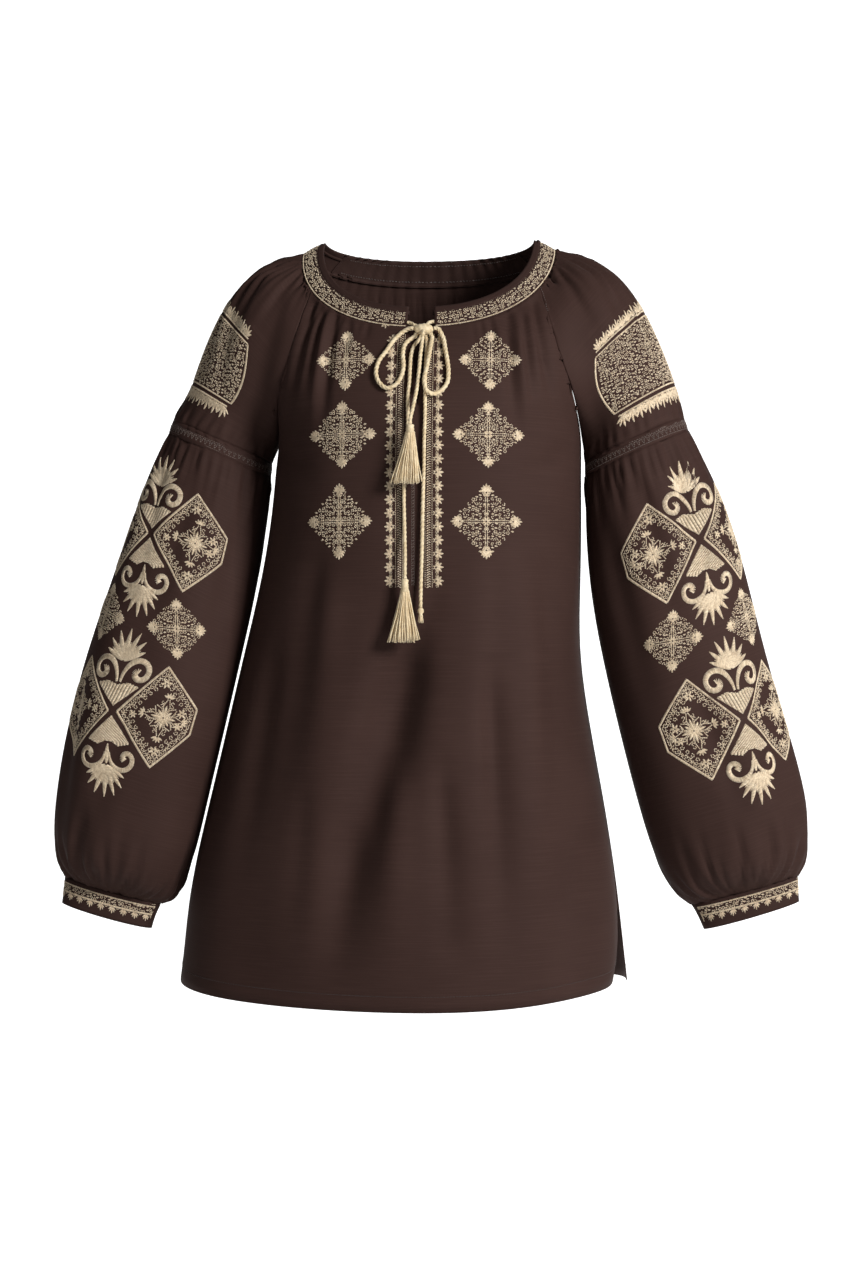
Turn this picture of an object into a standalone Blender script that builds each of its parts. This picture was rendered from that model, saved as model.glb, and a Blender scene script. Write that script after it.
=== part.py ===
"""A long-sleeved raglan blouse, worn and empty, with a tied and tasselled neck cord.

Metres, +Z up. The front faces -Y and +X is the viewer's right. The origin is between the shoulders,
level with the top of the neckband at its sides.
"""
import math

import bmesh
import bpy
import numpy as np

GAP = 0.0003
NECK_SEAM = 0.00025
CLOTH = 0.0015
BAND_CLOTH = 0.0024
CUFF_CLOTH = 0.0022
CORD_DIAMETER = 0.0045
THIN_CORD_DIAMETER = 0.0038
END_STEP = 0.0018
RAGLAN_FRONT_DEG = 61.0
RAGLAN_BACK_DEG = 125.0
SLIT_DEG = 5.0
BINDING_SHARE = 0.28
BAND_ROLL = 0.0012
FRONT_COLUMNS = 30
BACK_GATHERS = 18
SLEEVE_GATHERS = 16
BACK_GATHER_HEIGHT = 0.0013
YOKE_GATHER_HEIGHT = 0.0011
BAND_GATHER_HEIGHT = 0.0013
CUFF_GATHER_HEIGHT = 0.0020

# The neck ring's two edges: half_width, front_y, back_y, side_z, front_z, back_z, power
NECK_INNER = (0.1050, -0.0920, 0.0700, 0.0050, -0.0755, -0.0045, 0.88)
NECK_OUTER = (0.1265, -0.1030, 0.0785, -0.0050, -0.0966, -0.0290, 0.92)
NECK_X = -0.002

# Body panels: down, centre_x, centre_y, centre_z, left_x, right_x, side_y, side_z, arc_deg, power
# Down to 0.160 the sides are the raglan seams, and below that the side seams.
FRONT = (
    (0.040, -0.002, -0.1180, -0.122, -0.1235, 0.1215, -0.078, -0.090, 64, 0.92),
    (0.080, -0.002, -0.1262, -0.149, -0.1340, 0.1325, -0.083, -0.127, 68, 0.90),
    (0.120, -0.003, -0.1312, -0.174, -0.1455, 0.1440, -0.065, -0.163, 75, 0.88),
    (0.160, -0.003, -0.1345, -0.200, -0.1520, 0.1502, 0.000, -0.201, 90, 0.87),
    (0.220, -0.004, -0.1375, -0.252, -0.1560, 0.1495, 0.000, -0.250, 90, 0.87),
    (0.285, -0.006, -0.1392, -0.317, -0.1640, 0.1510, 0.000, -0.315, 90, 0.87),
    (0.345, -0.008, -0.1400, -0.377, -0.1785, 0.1462, 0.000, -0.375, 90, 0.88),
    (0.430, -0.011, -0.1430, -0.464, -0.1990, 0.1550, 0.000, -0.461, 90, 0.90),
    (0.530, -0.015, -0.1480, -0.566, -0.2230, 0.1740, 0.000, -0.563, 90, 0.92),
    (0.610, -0.019, -0.1520, -0.643, -0.2410, 0.1848, 0.000, -0.639, 90, 0.93),
    (0.665, -0.021, -0.1540, -0.701, -0.2460, 0.1870, -0.002, -0.695, 90, 0.94),
    (0.705, -0.022, -0.1550, -0.742, -0.2500, 0.1820, -0.004, -0.729, 90, 0.94),
)
BACK = (
    (0.040, -0.002, 0.0920, -0.070, -0.1205, 0.1185, 0.072, -0.062, 61, 0.92),
    (0.080, -0.002, 0.1010, -0.112, -0.1325, 0.1310, 0.079, -0.106, 67, 0.90),
    (0.120, -0.003, 0.1070, -0.156, -0.1450, 0.1435, 0.062, -0.153, 75, 0.88),
    (0.160, -0.003, 0.1100, -0.200, -0.1520, 0.1502, 0.000, -0.201, 90, 0.87),
    (0.220, -0.004, 0.1100, -0.250, -0.1560, 0.1495, 0.000, -0.250, 90, 0.87),
    (0.285, -0.006, 0.1100, -0.315, -0.1640, 0.1510, 0.000, -0.315, 90, 0.87),
    (0.345, -0.008, 0.1130, -0.375, -0.1785, 0.1462, 0.000, -0.375, 90, 0.88),
    (0.430, -0.013, 0.1220, -0.461, -0.1990, 0.1550, 0.000, -0.461, 90, 0.90),
    (0.530, -0.020, 0.1340, -0.563, -0.2230, 0.1740, 0.000, -0.563, 90, 0.92),
    (0.610, -0.025, 0.1420, -0.641, -0.2410, 0.1852, 0.000, -0.639, 90, 0.93),
    (0.665, -0.027, 0.1470, -0.700, -0.2462, 0.1915, 0.001, -0.697, 90, 0.94),
    (0.705, -0.028, 0.1500, -0.740, -0.2510, 0.1955, 0.003, -0.733, 90, 0.94),
)

# Sleeve tops between the raglan seams: down, then x, y, z of the front, shoulder and back lines
SLEEVE_TOP = (
    (0.040, 0.1540, -0.0570, -0.0480, 0.1720, 0.002, -0.0210, 0.1520, 0.0540, -0.0370),
    (0.080, 0.1780, -0.0640, -0.0850, 0.2030, 0.002, -0.0520, 0.1770, 0.0620, -0.0780),
    (0.120, 0.1920, -0.0620, -0.1300, 0.2270, 0.001, -0.1000, 0.1910, 0.0600, -0.1260),
    (0.160, 0.1985, -0.0520, -0.1750, 0.2450, 0.000, -0.1490, 0.1985, 0.0520, -0.1750),
)
# Sleeve tubes: down, outer_x, outer_z, inner_x, inner_z, middle_y, half_depth
SLEEVE_LEFT = (
    (0.188, -0.2600, -0.1740, -0.1600, -0.2170, -0.001, 0.0505),
    (0.201, -0.2640, -0.1865, -0.1610, -0.2310, -0.003, 0.0520),
    (0.252, -0.2847, -0.2313, -0.1645, -0.2880, -0.012, 0.0590),
    (0.306, -0.2980, -0.2789, -0.1725, -0.3452, -0.022, 0.0640),
    (0.367, -0.3189, -0.3441, -0.1850, -0.4029, -0.030, 0.0680),
    (0.438, -0.3443, -0.4179, -0.1993, -0.4694, -0.034, 0.0700),
    (0.506, -0.3612, -0.4847, -0.2155, -0.5358, -0.035, 0.0700),
    (0.566, -0.3716, -0.5447, -0.2285, -0.5935, -0.034, 0.0680),
    (0.610, -0.3752, -0.5917, -0.2418, -0.6316, -0.032, 0.0590),
    (0.632, -0.3719, -0.6158, -0.2520, -0.6497, -0.031, 0.0430),
    (0.646, -0.3645, -0.6308, -0.2663, -0.6569, -0.030, 0.0220),
    (0.672, -0.3673, -0.6567, -0.2762, -0.6817, -0.031, 0.0210),
)
SLEEVE_RIGHT = (
    (0.188, 0.2520, -0.1755, 0.1530, -0.2190, 0.000, 0.0505),
    (0.201, 0.2560, -0.1880, 0.1532, -0.2331, -0.002, 0.0520),
    (0.252, 0.2797, -0.2341, 0.1542, -0.2889, -0.006, 0.0590),
    (0.306, 0.2990, -0.2818, 0.1580, -0.3455, -0.010, 0.0640),
    (0.367, 0.3153, -0.3449, 0.1685, -0.4029, -0.014, 0.0680),
    (0.438, 0.3326, -0.4175, 0.1832, -0.4689, -0.017, 0.0700),
    (0.506, 0.3529, -0.4831, 0.1999, -0.5347, -0.019, 0.0700),
    (0.566, 0.3702, -0.5416, 0.2155, -0.5916, -0.020, 0.0680),
    (0.610, 0.3731, -0.5876, 0.2331, -0.6298, -0.020, 0.0590),
    (0.632, 0.3687, -0.6111, 0.2468, -0.6464, -0.020, 0.0430),
    (0.646, 0.3615, -0.6253, 0.2575, -0.6541, -0.020, 0.0220),
    (0.672, 0.3628, -0.6501, 0.2696, -0.6784, -0.021, 0.0210),
)
BAND_TOP, BAND_BOTTOM, CUFF_TOP, CUFF_BOTTOM = 0.188, 0.201, 0.646, 0.672
ARMPIT_CLEARANCE = 0.0010
NECK_BLEND = 0.08

YOKE_ROWS = (0.0, 0.013, 0.030, 0.052, 0.078, 0.104, 0.128, 0.146, 0.160)
BODY_ROWS = (0.200, 0.250, 0.310, 0.370, 0.430, 0.495, 0.560, 0.620, 0.670, 0.705)
LOWER_SLEEVE_ROWS = (0.201, 0.216, 0.240, 0.285, 0.340, 0.400, 0.460, 0.520, 0.570, 0.602, 0.622, 0.636, 0.646)
CUFF_ROWS = (0.646, 0.659, 0.672)
# The neck slit: down, half_width. It closes at SLIT_FOOT.
SLIT = ((0.0, 0.0115), (0.013, 0.0098), (0.030, 0.0078), (0.052, 0.0055), (0.078, 0.0032), (0.104, 0.0010))
SLIT_FOOT = 0.110

# Soft folds of the front and back, pressed along a line: x0, z0, x1, z1, depth, width
FRONT_FOLDS = (
    (0.020, -0.350, -0.030, -0.480, 0.0050, 0.030),
    (-0.030, -0.480, -0.062, -0.610, 0.0075, 0.034),
    (0.080, -0.400, 0.095, -0.680, -0.0045, 0.050),
    (-0.120, -0.420, -0.165, -0.690, 0.0050, 0.030),
    (0.150, -0.480, 0.158, -0.700, 0.0030, 0.020),
)
BACK_FOLDS = (
    (-0.045, -0.330, -0.070, -0.700, 0.0060, 0.036),
    (0.060, -0.380, 0.085, -0.700, 0.0050, 0.034),
    (0.005, -0.250, 0.000, -0.560, -0.0035, 0.045),
    (-0.140, -0.440, -0.175, -0.700, 0.0045, 0.030),
)
# Folds of the sleeves, as distance down and share of the way round: down0, round0, down1, round1, depth, width
SLEEVE_FOLDS = (
    (0.030, 0.170, 0.150, 0.130, 0.0055, 0.045),
    (0.215, 0.330, 0.400, 0.300, 0.0030, 0.040),
    (0.230, 0.640, 0.430, 0.700, 0.0035, 0.050),
    (0.430, 0.240, 0.610, 0.210, 0.0035, 0.045),
    (0.470, 0.420, 0.620, 0.400, 0.0030, 0.040),
    (0.450, 0.760, 0.620, 0.800, 0.0035, 0.045),
)

# Cord routes, each from the knot or the neckband through points on the chest: x, y, z
LOOP_LEFT = (
    (-0.0080, -0.1119, -0.0994), (-0.0107, -0.1117, -0.0990), (-0.0165, -0.1108, -0.1012),
    (-0.0247, -0.1129, -0.1082), (-0.0326, -0.1195, -0.1204), (-0.0408, -0.1233, -0.1331),
    (-0.0424, -0.1259, -0.1429), (-0.0393, -0.1283, -0.1517), (-0.0316, -0.1303, -0.1576),
    (-0.0240, -0.1301, -0.1549), (-0.0185, -0.1287, -0.1472), (-0.0163, -0.1263, -0.1370),
    (-0.0172, -0.1222, -0.1238), (-0.0150, -0.1173, -0.1142), (-0.0100, -0.1140, -0.1092),
    (-0.0065, -0.1121, -0.1066), (-0.0051, -0.1120, -0.1042),
)
LOOP_RIGHT = (
    (0.0114, -0.1119, -0.0994), (0.0141, -0.1118, -0.0992), (0.0192, -0.1132, -0.1060),
    (0.0230, -0.1201, -0.1211), (0.0251, -0.1239, -0.1320), (0.0263, -0.1268, -0.1427),
    (0.0250, -0.1296, -0.1534), (0.0191, -0.1319, -0.1611), (0.0122, -0.1358, -0.1641),
    (0.0062, -0.1390, -0.1605), (0.0045, -0.1388, -0.1538), (0.0066, -0.1336, -0.1374),
    (0.0084, -0.1272, -0.1245), (0.0096, -0.1190, -0.1128), (0.0094, -0.1131, -0.1068),
    (0.0081, -0.1126, -0.1043),
)
TAIL_LOWER = (
    (-0.0006, -0.1117, -0.1056), (-0.0012, -0.1120, -0.1080), (-0.0042, -0.1142, -0.1120),
    (-0.0076, -0.1185, -0.1180), (-0.0095, -0.1230, -0.1275), (-0.0099, -0.1260, -0.1360),
    (-0.0103, -0.1297, -0.1502), (-0.0115, -0.1329, -0.1656), (-0.0112, -0.1369, -0.1933),
    (-0.0134, -0.1390, -0.2250), (-0.0146, -0.1405, -0.2545), (-0.0139, -0.1426, -0.2921),
    (-0.0130, -0.1474, -0.3180), (-0.0130, -0.1493, -0.3290), (-0.0130, -0.1495, -0.3340),
    (-0.0130, -0.1495, -0.3377),
)
TAIL_UPPER = (
    (0.0019, -0.1171, -0.1020), (0.0019, -0.1196, -0.1031), (0.0016, -0.1228, -0.1085),
    (0.0008, -0.1262, -0.1180), (-0.0002, -0.1290, -0.1280), (-0.0012, -0.1328, -0.1430),
    (-0.0024, -0.1360, -0.1560), (-0.0042, -0.1402, -0.1680), (-0.0062, -0.1460, -0.1800),
    (-0.0077, -0.1500, -0.1880), (-0.0080, -0.1505, -0.1910), (-0.0080, -0.1505, -0.1936),
)
TAIL_KNOTTED = (
    (0.0038, -0.1106, -0.1055), (0.0042, -0.1108, -0.1078), (0.0047, -0.1140, -0.1118),
    (0.0051, -0.1180, -0.1172), (0.0051, -0.1216, -0.1239), (0.0048, -0.1270, -0.1396),
    (0.0048, -0.1343, -0.1677), (0.0048, -0.1362, -0.1858), (0.0043, -0.1384, -0.2057),
    (0.0040, -0.1402, -0.2350), (0.0031, -0.1413, -0.2700), (0.0023, -0.1420, -0.3150),
    (0.0014, -0.1422, -0.3450), (0.0012, -0.1424, -0.3570), (0.0012, -0.1424, -0.3645),
)
STUB_LEFT = (
    (-0.0148, -0.1012, -0.0920), (-0.0120, -0.1018, -0.0925), (-0.0082, -0.1046, -0.0948),
    (-0.0052, -0.1061, -0.0963), (-0.0041, -0.1082, -0.0975),
)
STUB_RIGHT = (
    (0.0108, -0.1012, -0.0915), (0.0085, -0.1014, -0.0915), (0.0058, -0.1032, -0.0930),
    (0.0042, -0.1054, -0.0953), (0.0038, -0.1076, -0.0968),
)
# Cords: name, route, points along it, diameter
CORDS = (
    ("tie_loop_left", LOOP_LEFT, 16, CORD_DIAMETER),
    ("tie_loop_right", LOOP_RIGHT, 16, CORD_DIAMETER),
    ("tie_tail_lower", TAIL_LOWER, 16, THIN_CORD_DIAMETER),
    ("tie_tail_upper", TAIL_UPPER, 10, THIN_CORD_DIAMETER),
    ("tie_tail_knotted", TAIL_KNOTTED, 16, THIN_CORD_DIAMETER),
    ("tie_stub_left", STUB_LEFT, 4, THIN_CORD_DIAMETER),
    ("tie_stub_right", STUB_RIGHT, 4, THIN_CORD_DIAMETER),
)
KNOT_CENTRE = (0.0017, -0.1120, -0.1000)
KNOT_RADII = (0.0095, 0.0052, 0.0055)

# Tassels: name, x, y, top_z, head_radius, head_height, skirt_half_width, skirt_half_depth, length, lean
TASSELS = (
    ("tassel_upper", -0.0080, -0.1505, -0.1939, 0.0042, 0.0080, 0.0150, 0.0062, 0.0570, -0.0040),
    ("tassel_lower", -0.0130, -0.1495, -0.3380, 0.0038, 0.0120, 0.0150, 0.0072, 0.0610, -0.0015),
)
TASSEL_SECTORS = 16
# The small knot on the bare tail's end, turned: distance down, radius
END_KNOT_CENTRE = (0.0012, -0.1424, -0.3648)
END_KNOT_PROFILE = (
    (0.0, 0.0014), (0.0015, 0.0028), (0.0042, 0.0030), (0.0060, 0.0016), (0.0082, 0.0024),
    (0.0120, 0.0030), (0.0140, 0.0018),
)

COLOURS = {
    "cloth": ((0.046, 0.029, 0.025), 0.82),
    "band": ((0.300, 0.225, 0.150), 0.88),
    "binding": ((0.040, 0.026, 0.023), 0.80),
    "insertion": ((0.062, 0.044, 0.036), 0.85),
    "cord": ((0.830, 0.680, 0.440), 0.75),
}


def clear_scene():
    for item in list(bpy.data.objects):
        bpy.data.objects.remove(item, do_unlink=True)


def make_material(name, colour, roughness):
    material = bpy.data.materials.new(name)
    material.use_nodes = True
    shader = material.node_tree.nodes["Principled BSDF"]
    shader.inputs["Base Color"].default_value = (*colour, 1.0)
    shader.inputs["Roughness"].default_value = roughness
    shader.inputs["Metallic"].default_value = 0.0
    material.diffuse_color = (*colour, 1.0)
    return material


def raised(value, power):
    """The value to a power with its sign kept, which squares off a circle a little when below 1."""
    return math.copysign(abs(value) ** power, value)


def smooth(value, start, end):
    share = min(max((value - start) / (end - start), 0.0), 1.0)
    return share * share * (3.0 - 2.0 * share)


def unit(vector):
    return vector / max(np.linalg.norm(vector), 1e-12)


class Table:
    """Rows keyed by distance down the garment, read between rows along a smooth curve."""

    def __init__(self, rows):
        rows = np.array(rows, dtype=float)
        self.key, self.rows = rows[:, 0], rows[:, 1:]
        steps = np.diff(self.key)
        slopes = np.diff(self.rows, axis=0) / steps[:, None]
        tangents = np.zeros_like(self.rows)
        tangents[0], tangents[-1] = slopes[0], slopes[-1]
        for i in range(1, len(rows) - 1):
            before, after = steps[i - 1], steps[i]
            middle = (slopes[i] * before + slopes[i - 1] * after) / (before + after)
            limit = 3.0 * np.minimum(abs(slopes[i - 1]), abs(slopes[i])) * (slopes[i - 1] * slopes[i] > 0)
            tangents[i] = np.clip(middle, -limit, limit)
        self.tangents = tangents

    def at(self, down):
        down = min(max(down, self.key[0]), self.key[-1])
        i = min(int(np.searchsorted(self.key, down, side="right")) - 1, len(self.key) - 2)
        step = self.key[i + 1] - self.key[i]
        t = (down - self.key[i]) / step
        a, b = self.rows[i], self.rows[i + 1]
        return ((2 * t**3 - 3 * t**2 + 1) * a + (t**3 - 2 * t**2 + t) * step * self.tangents[i]
                + (3 * t**2 - 2 * t**3) * b + (t**3 - t**2) * step * self.tangents[i + 1])


def neck_edge(edge, degrees):
    """A point on one edge of the neck ring, 0 degrees at the front centre and 90 at the right shoulder."""
    half_width, front_y, back_y, side_z, front_z, back_z, power = edge
    across = raised(math.sin(math.radians(degrees)), power)
    along = raised(math.cos(math.radians(degrees)), power)
    end_y, end_z = (front_y, front_z) if along > 0 else (back_y, back_z)
    return np.array((NECK_X + half_width * across, end_y * abs(along), side_z + (end_z - side_z) * abs(along)))


def neck_surface(degrees, share):
    """The neckband's outer face: share 0 at its upper edge and 1 at its seam with the panels."""
    inner, outer = neck_edge(NECK_INNER, degrees), neck_edge(NECK_OUTER, degrees)
    ahead = neck_edge(NECK_OUTER, degrees + 1.0) - neck_edge(NECK_OUTER, degrees - 1.0)
    outward = unit(np.cross(outer - inner, ahead))
    return inner + (outer - inner) * share + outward * BAND_ROLL * 4.0 * share * (1.0 - share)


def body_table(rows, centre_deg, seam_deg):
    """The body rows under a first row read from the neck ring."""
    centre, right = neck_edge(NECK_OUTER, centre_deg), neck_edge(NECK_OUTER, seam_deg)
    arc = abs(seam_deg - centre_deg)
    neck = (0.0, centre[0], centre[1], centre[2], 2 * NECK_X - right[0], right[0], right[1], right[2], arc,
            NECK_OUTER[6])
    return Table((neck,) + rows)


def body_point(table, share, down):
    """A point of a body panel, share -1 at its left seam, 0 at the centre and 1 at its right seam."""
    centre_x, centre_y, centre_z, left_x, right_x, side_y, side_z, arc, power = table.at(down)
    arc = math.radians(min(arc, 90.0))
    angle = abs(share) * arc
    across = max(math.sin(angle), 0.0) ** power / math.sin(arc) ** power
    inward = (1.0 - max(math.cos(angle), 0.0) ** power) / (1.0 - max(math.cos(arc), 0.0) ** power)
    side_x = right_x if share > 0 else left_x
    return np.array((centre_x + (side_x - centre_x) * across, centre_y + (side_y - centre_y) * inward,
                     centre_z + (side_z - centre_z) * inward))


def sleeve_table(side, tube):
    """Rows of five points round a sleeve: front seam, front, outer, back and back seam. Side is -1 or 1."""
    column = 3 if side < 0 else 4
    front, back = body_table(FRONT, 0.0, RAGLAN_FRONT_DEG), body_table(BACK, 180.0, RAGLAN_BACK_DEG)
    rows = []
    middle_deg = (RAGLAN_FRONT_DEG + 90.0) / 2, 90.0, (RAGLAN_BACK_DEG + 90.0) / 2
    points = [neck_edge(NECK_OUTER, side * angle)
              for angle in (RAGLAN_FRONT_DEG, *middle_deg, RAGLAN_BACK_DEG)]
    rows.append((0.0, *np.concatenate(points)))
    for down, *lines in SLEEVE_TOP:
        edge = []
        for table in (front, back):
            row = table.at(down)
            edge.append((row[column] + side * ARMPIT_CLEARANCE * smooth(down, 0.08, 0.16), row[5], row[6]))
        lines = [(side * lines[i], lines[i + 1], lines[i + 2]) for i in (0, 3, 6)]
        rows.append((down, *edge[0], *lines[0], *lines[1], *lines[2], *edge[1]))
    for down, outer_x, outer_z, inner_x, inner_z, y, half_depth in tube:
        middle = ((outer_x + inner_x) / 2, (outer_z + inner_z) / 2)
        rows.append((down, inner_x, y, inner_z, middle[0], y - half_depth, middle[1], outer_x, y, outer_z,
                     middle[0], y + half_depth, middle[1], inner_x, y, inner_z))
    return Table(rows)


def round_five(points, share):
    """A smooth way round a sleeve through five points, share 0 at the first and 1 at the last."""
    spread = points[4] - points[0]
    start, outer = (points[0] + points[4]) / 2, points[2]
    front, back = points[1] + spread / 4, points[3] - spread / 4
    angle = 2 * math.pi * share
    return ((start + front + outer + back) / 4 + (start - outer) / 2 * math.cos(angle)
            + (front - back) / 2 * math.sin(angle) + (start - front + outer - back) / 4 * math.cos(2 * angle)
            + spread * (share - 0.5))


def sleeve_point(table, side, share, down):
    """A point of a sleeve, share 0 at the front seam, 0.5 outermost and 1 at the back seam."""
    place = round_five(table.at(down).reshape(5, 3), share)
    if down < NECK_BLEND:
        degrees = (1 - share) * RAGLAN_FRONT_DEG + share * RAGLAN_BACK_DEG
        miss = neck_edge(NECK_OUTER, side * degrees) - round_five(table.at(0.0).reshape(5, 3), share)
        place = place + miss * (1 - smooth(down, 0.0, NECK_BLEND))
    return place


def line_fold(x, z, folds):
    """How far soft folds press the cloth in at a place, from a table of lines with depth and width."""
    total = 0.0
    for x0, z0, x1, z1, depth, width in folds:
        along = np.array((x1 - x0, z1 - z0))
        length = np.linalg.norm(along)
        share = ((x - x0) * along[0] + (z - z0) * along[1]) / length**2
        near = min(max(share, 0.0), 1.0)
        apart = math.hypot(x - x0 - along[0] * near, z - z0 - along[1] * near)
        total += depth * math.exp(-(apart / width) ** 2)
    return total


def body_relief(place, share, down, folds, gathers):
    """Height of the folds, gathers and hem waves over a body panel's plain form."""
    calm = 1.0 - smooth(abs(share), 0.80, 1.0)
    height = -line_fold(place[0], place[2], folds) * calm * smooth(down, 0.16, 0.30)
    height += 0.0035 * smooth(down, 0.45, 0.705) * math.sin(7.5 * share + 0.6) * calm
    if gathers:
        wave = math.cos(2 * math.pi * gathers * (share + 1) / 2)
        height += BACK_GATHER_HEIGHT * wave * calm * (1 - smooth(down, 0.0, 0.060))
    return height


def sleeve_relief(share, down):
    """Height of the folds and gathers over a sleeve's plain form."""
    wave = math.cos(2 * math.pi * SLEEVE_GATHERS * share)
    calm = smooth(share, 0.0, 0.10) * (1 - smooth(share, 0.90, 1.0))
    height = YOKE_GATHER_HEIGHT * wave * calm * (1 - smooth(down, 0.0, 0.060))
    if down > 0.195:
        top = 1 - smooth(down, BAND_BOTTOM, BAND_BOTTOM + 0.040)
        foot = smooth(down, CUFF_TOP - 0.050, CUFF_TOP)
        height += (BAND_GATHER_HEIGHT * top + CUFF_GATHER_HEIGHT * foot) * wave
    for down0, round0, down1, round1, depth, width in SLEEVE_FOLDS:
        along = min(max((down - down0) / (down1 - down0), 0.0), 1.0)
        beyond = (down - down0 - (down1 - down0) * along) / 0.040
        off = (share - round0 - (round1 - round0) * along) / width
        height -= depth * math.exp(-off * off - beyond * beyond) * smooth(share, 0.0, 0.06) * (
            1 - smooth(share, 0.92, 1.0))
    return height


def facing(point, share, down, outward):
    """The plain form's unit normal at a place, from points a little to each side."""
    step_s, step_d = 0.004, 0.002
    across = point(min(share + step_s, 1.0), down) - point(max(share - step_s, -1.0), down)
    below = point(share, down + step_d) - point(share, max(down - step_d, 0.0))
    return outward * unit(np.cross(below, across))


def grid(point, relief, shares, downs, outward):
    """Outer points and normals of a panel; shares holds one row of shares for each distance down."""
    places = np.zeros((len(downs), len(shares[0]), 3))
    normals = np.zeros_like(places)
    for r, down in enumerate(downs):
        for c, share in enumerate(shares[r]):
            place = point(share, down)
            normal = facing(point, share, down, outward)
            places[r, c] = place + normal * relief(place, share, down)
            normals[r, c] = normal
    return places, normals


def share_seam(first, second):
    """Gives two meeting edges one wall direction wherever their cloths face nearly the same way."""
    for i in range(len(first)):
        if np.dot(first[i], second[i]) > 0.25:
            both = unit(first[i] + second[i])
            first[i], second[i] = both, both


def draw_in(places, edges):
    """Moves the named edges of a grid half a seam gap inwards along the cloth."""
    if "neck" in edges:
        places[0] += NECK_SEAM * np.array([unit(v) for v in places[1] - places[0]])
    if "top" in edges:
        places[0] += GAP / 2 * np.array([unit(v) for v in places[1] - places[0]])
    if "bottom" in edges:
        places[-1] += GAP / 2 * np.array([unit(v) for v in places[-2] - places[-1]])
    if "start" in edges:
        places[:, 0] += GAP / 2 * np.array([unit(v) for v in places[:, 1] - places[:, 0]])
    if "end" in edges:
        places[:, -1] += GAP / 2 * np.array([unit(v) for v in places[:, -2] - places[:, -1]])


def build_wall(name, places, normals, thickness, material, same=None, skip=None, outward=1):
    """A closed cloth wall under a grid of outer points. Same maps a grid place onto one it shares."""
    rows, columns = places.shape[:2]
    mesh = bmesh.new()
    outer, inner = {}, {}
    for r in range(rows):
        for c in range(columns):
            key = same(r, c) if same else (r, c)
            if key not in outer:
                outer[key] = mesh.verts.new(places[key])
                inner[key] = mesh.verts.new(places[key] - normals[key] * thickness)
            outer[(r, c)], inner[(r, c)] = outer[key], inner[key]
    for r in range(rows - 1):
        for c in range(columns - 1):
            if skip and skip(r, c):
                continue
            loop = [(r, c), (r + 1, c), (r + 1, c + 1), (r, c + 1)]
            if outward < 0:
                loop.reverse()
            mesh.faces.new([outer[key] for key in loop])
            mesh.faces.new([inner[key] for key in reversed(loop)])
    twin = {outer[key]: inner[key] for key in outer}
    for edge in [e for e in mesh.edges if len(e.link_faces) == 1 and e.verts[0] in twin]:
        start, end = edge.link_loops[0].vert, edge.link_loops[0].link_loop_next.vert
        mesh.faces.new((end, start, twin[start], twin[end]))
    for face in mesh.faces:
        face.smooth = True
    return finish(name, mesh, material)


def finish(name, mesh, material):
    bmesh.ops.recalc_face_normals(mesh, faces=mesh.faces)
    data = bpy.data.meshes.new(name)
    mesh.to_mesh(data)
    mesh.free()
    data.materials.append(material)
    item = bpy.data.objects.new(name, data)
    bpy.context.scene.collection.objects.link(item)
    return item


def slit_share(table, down, right):
    """The share at which a body panel's half starts beside the neck slit."""
    half = np.interp(down, [row[0] for row in SLIT] + [SLIT_FOOT], [row[1] for row in SLIT] + [0.0])
    row = table.at(down)
    reach = abs((row[4] if right else row[3]) - row[0])
    arc, power = math.radians(min(row[7], 90.0)), row[8]
    return math.asin(min((half / reach) ** (1 / power) * math.sin(arc), 1.0)) / arc


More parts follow.
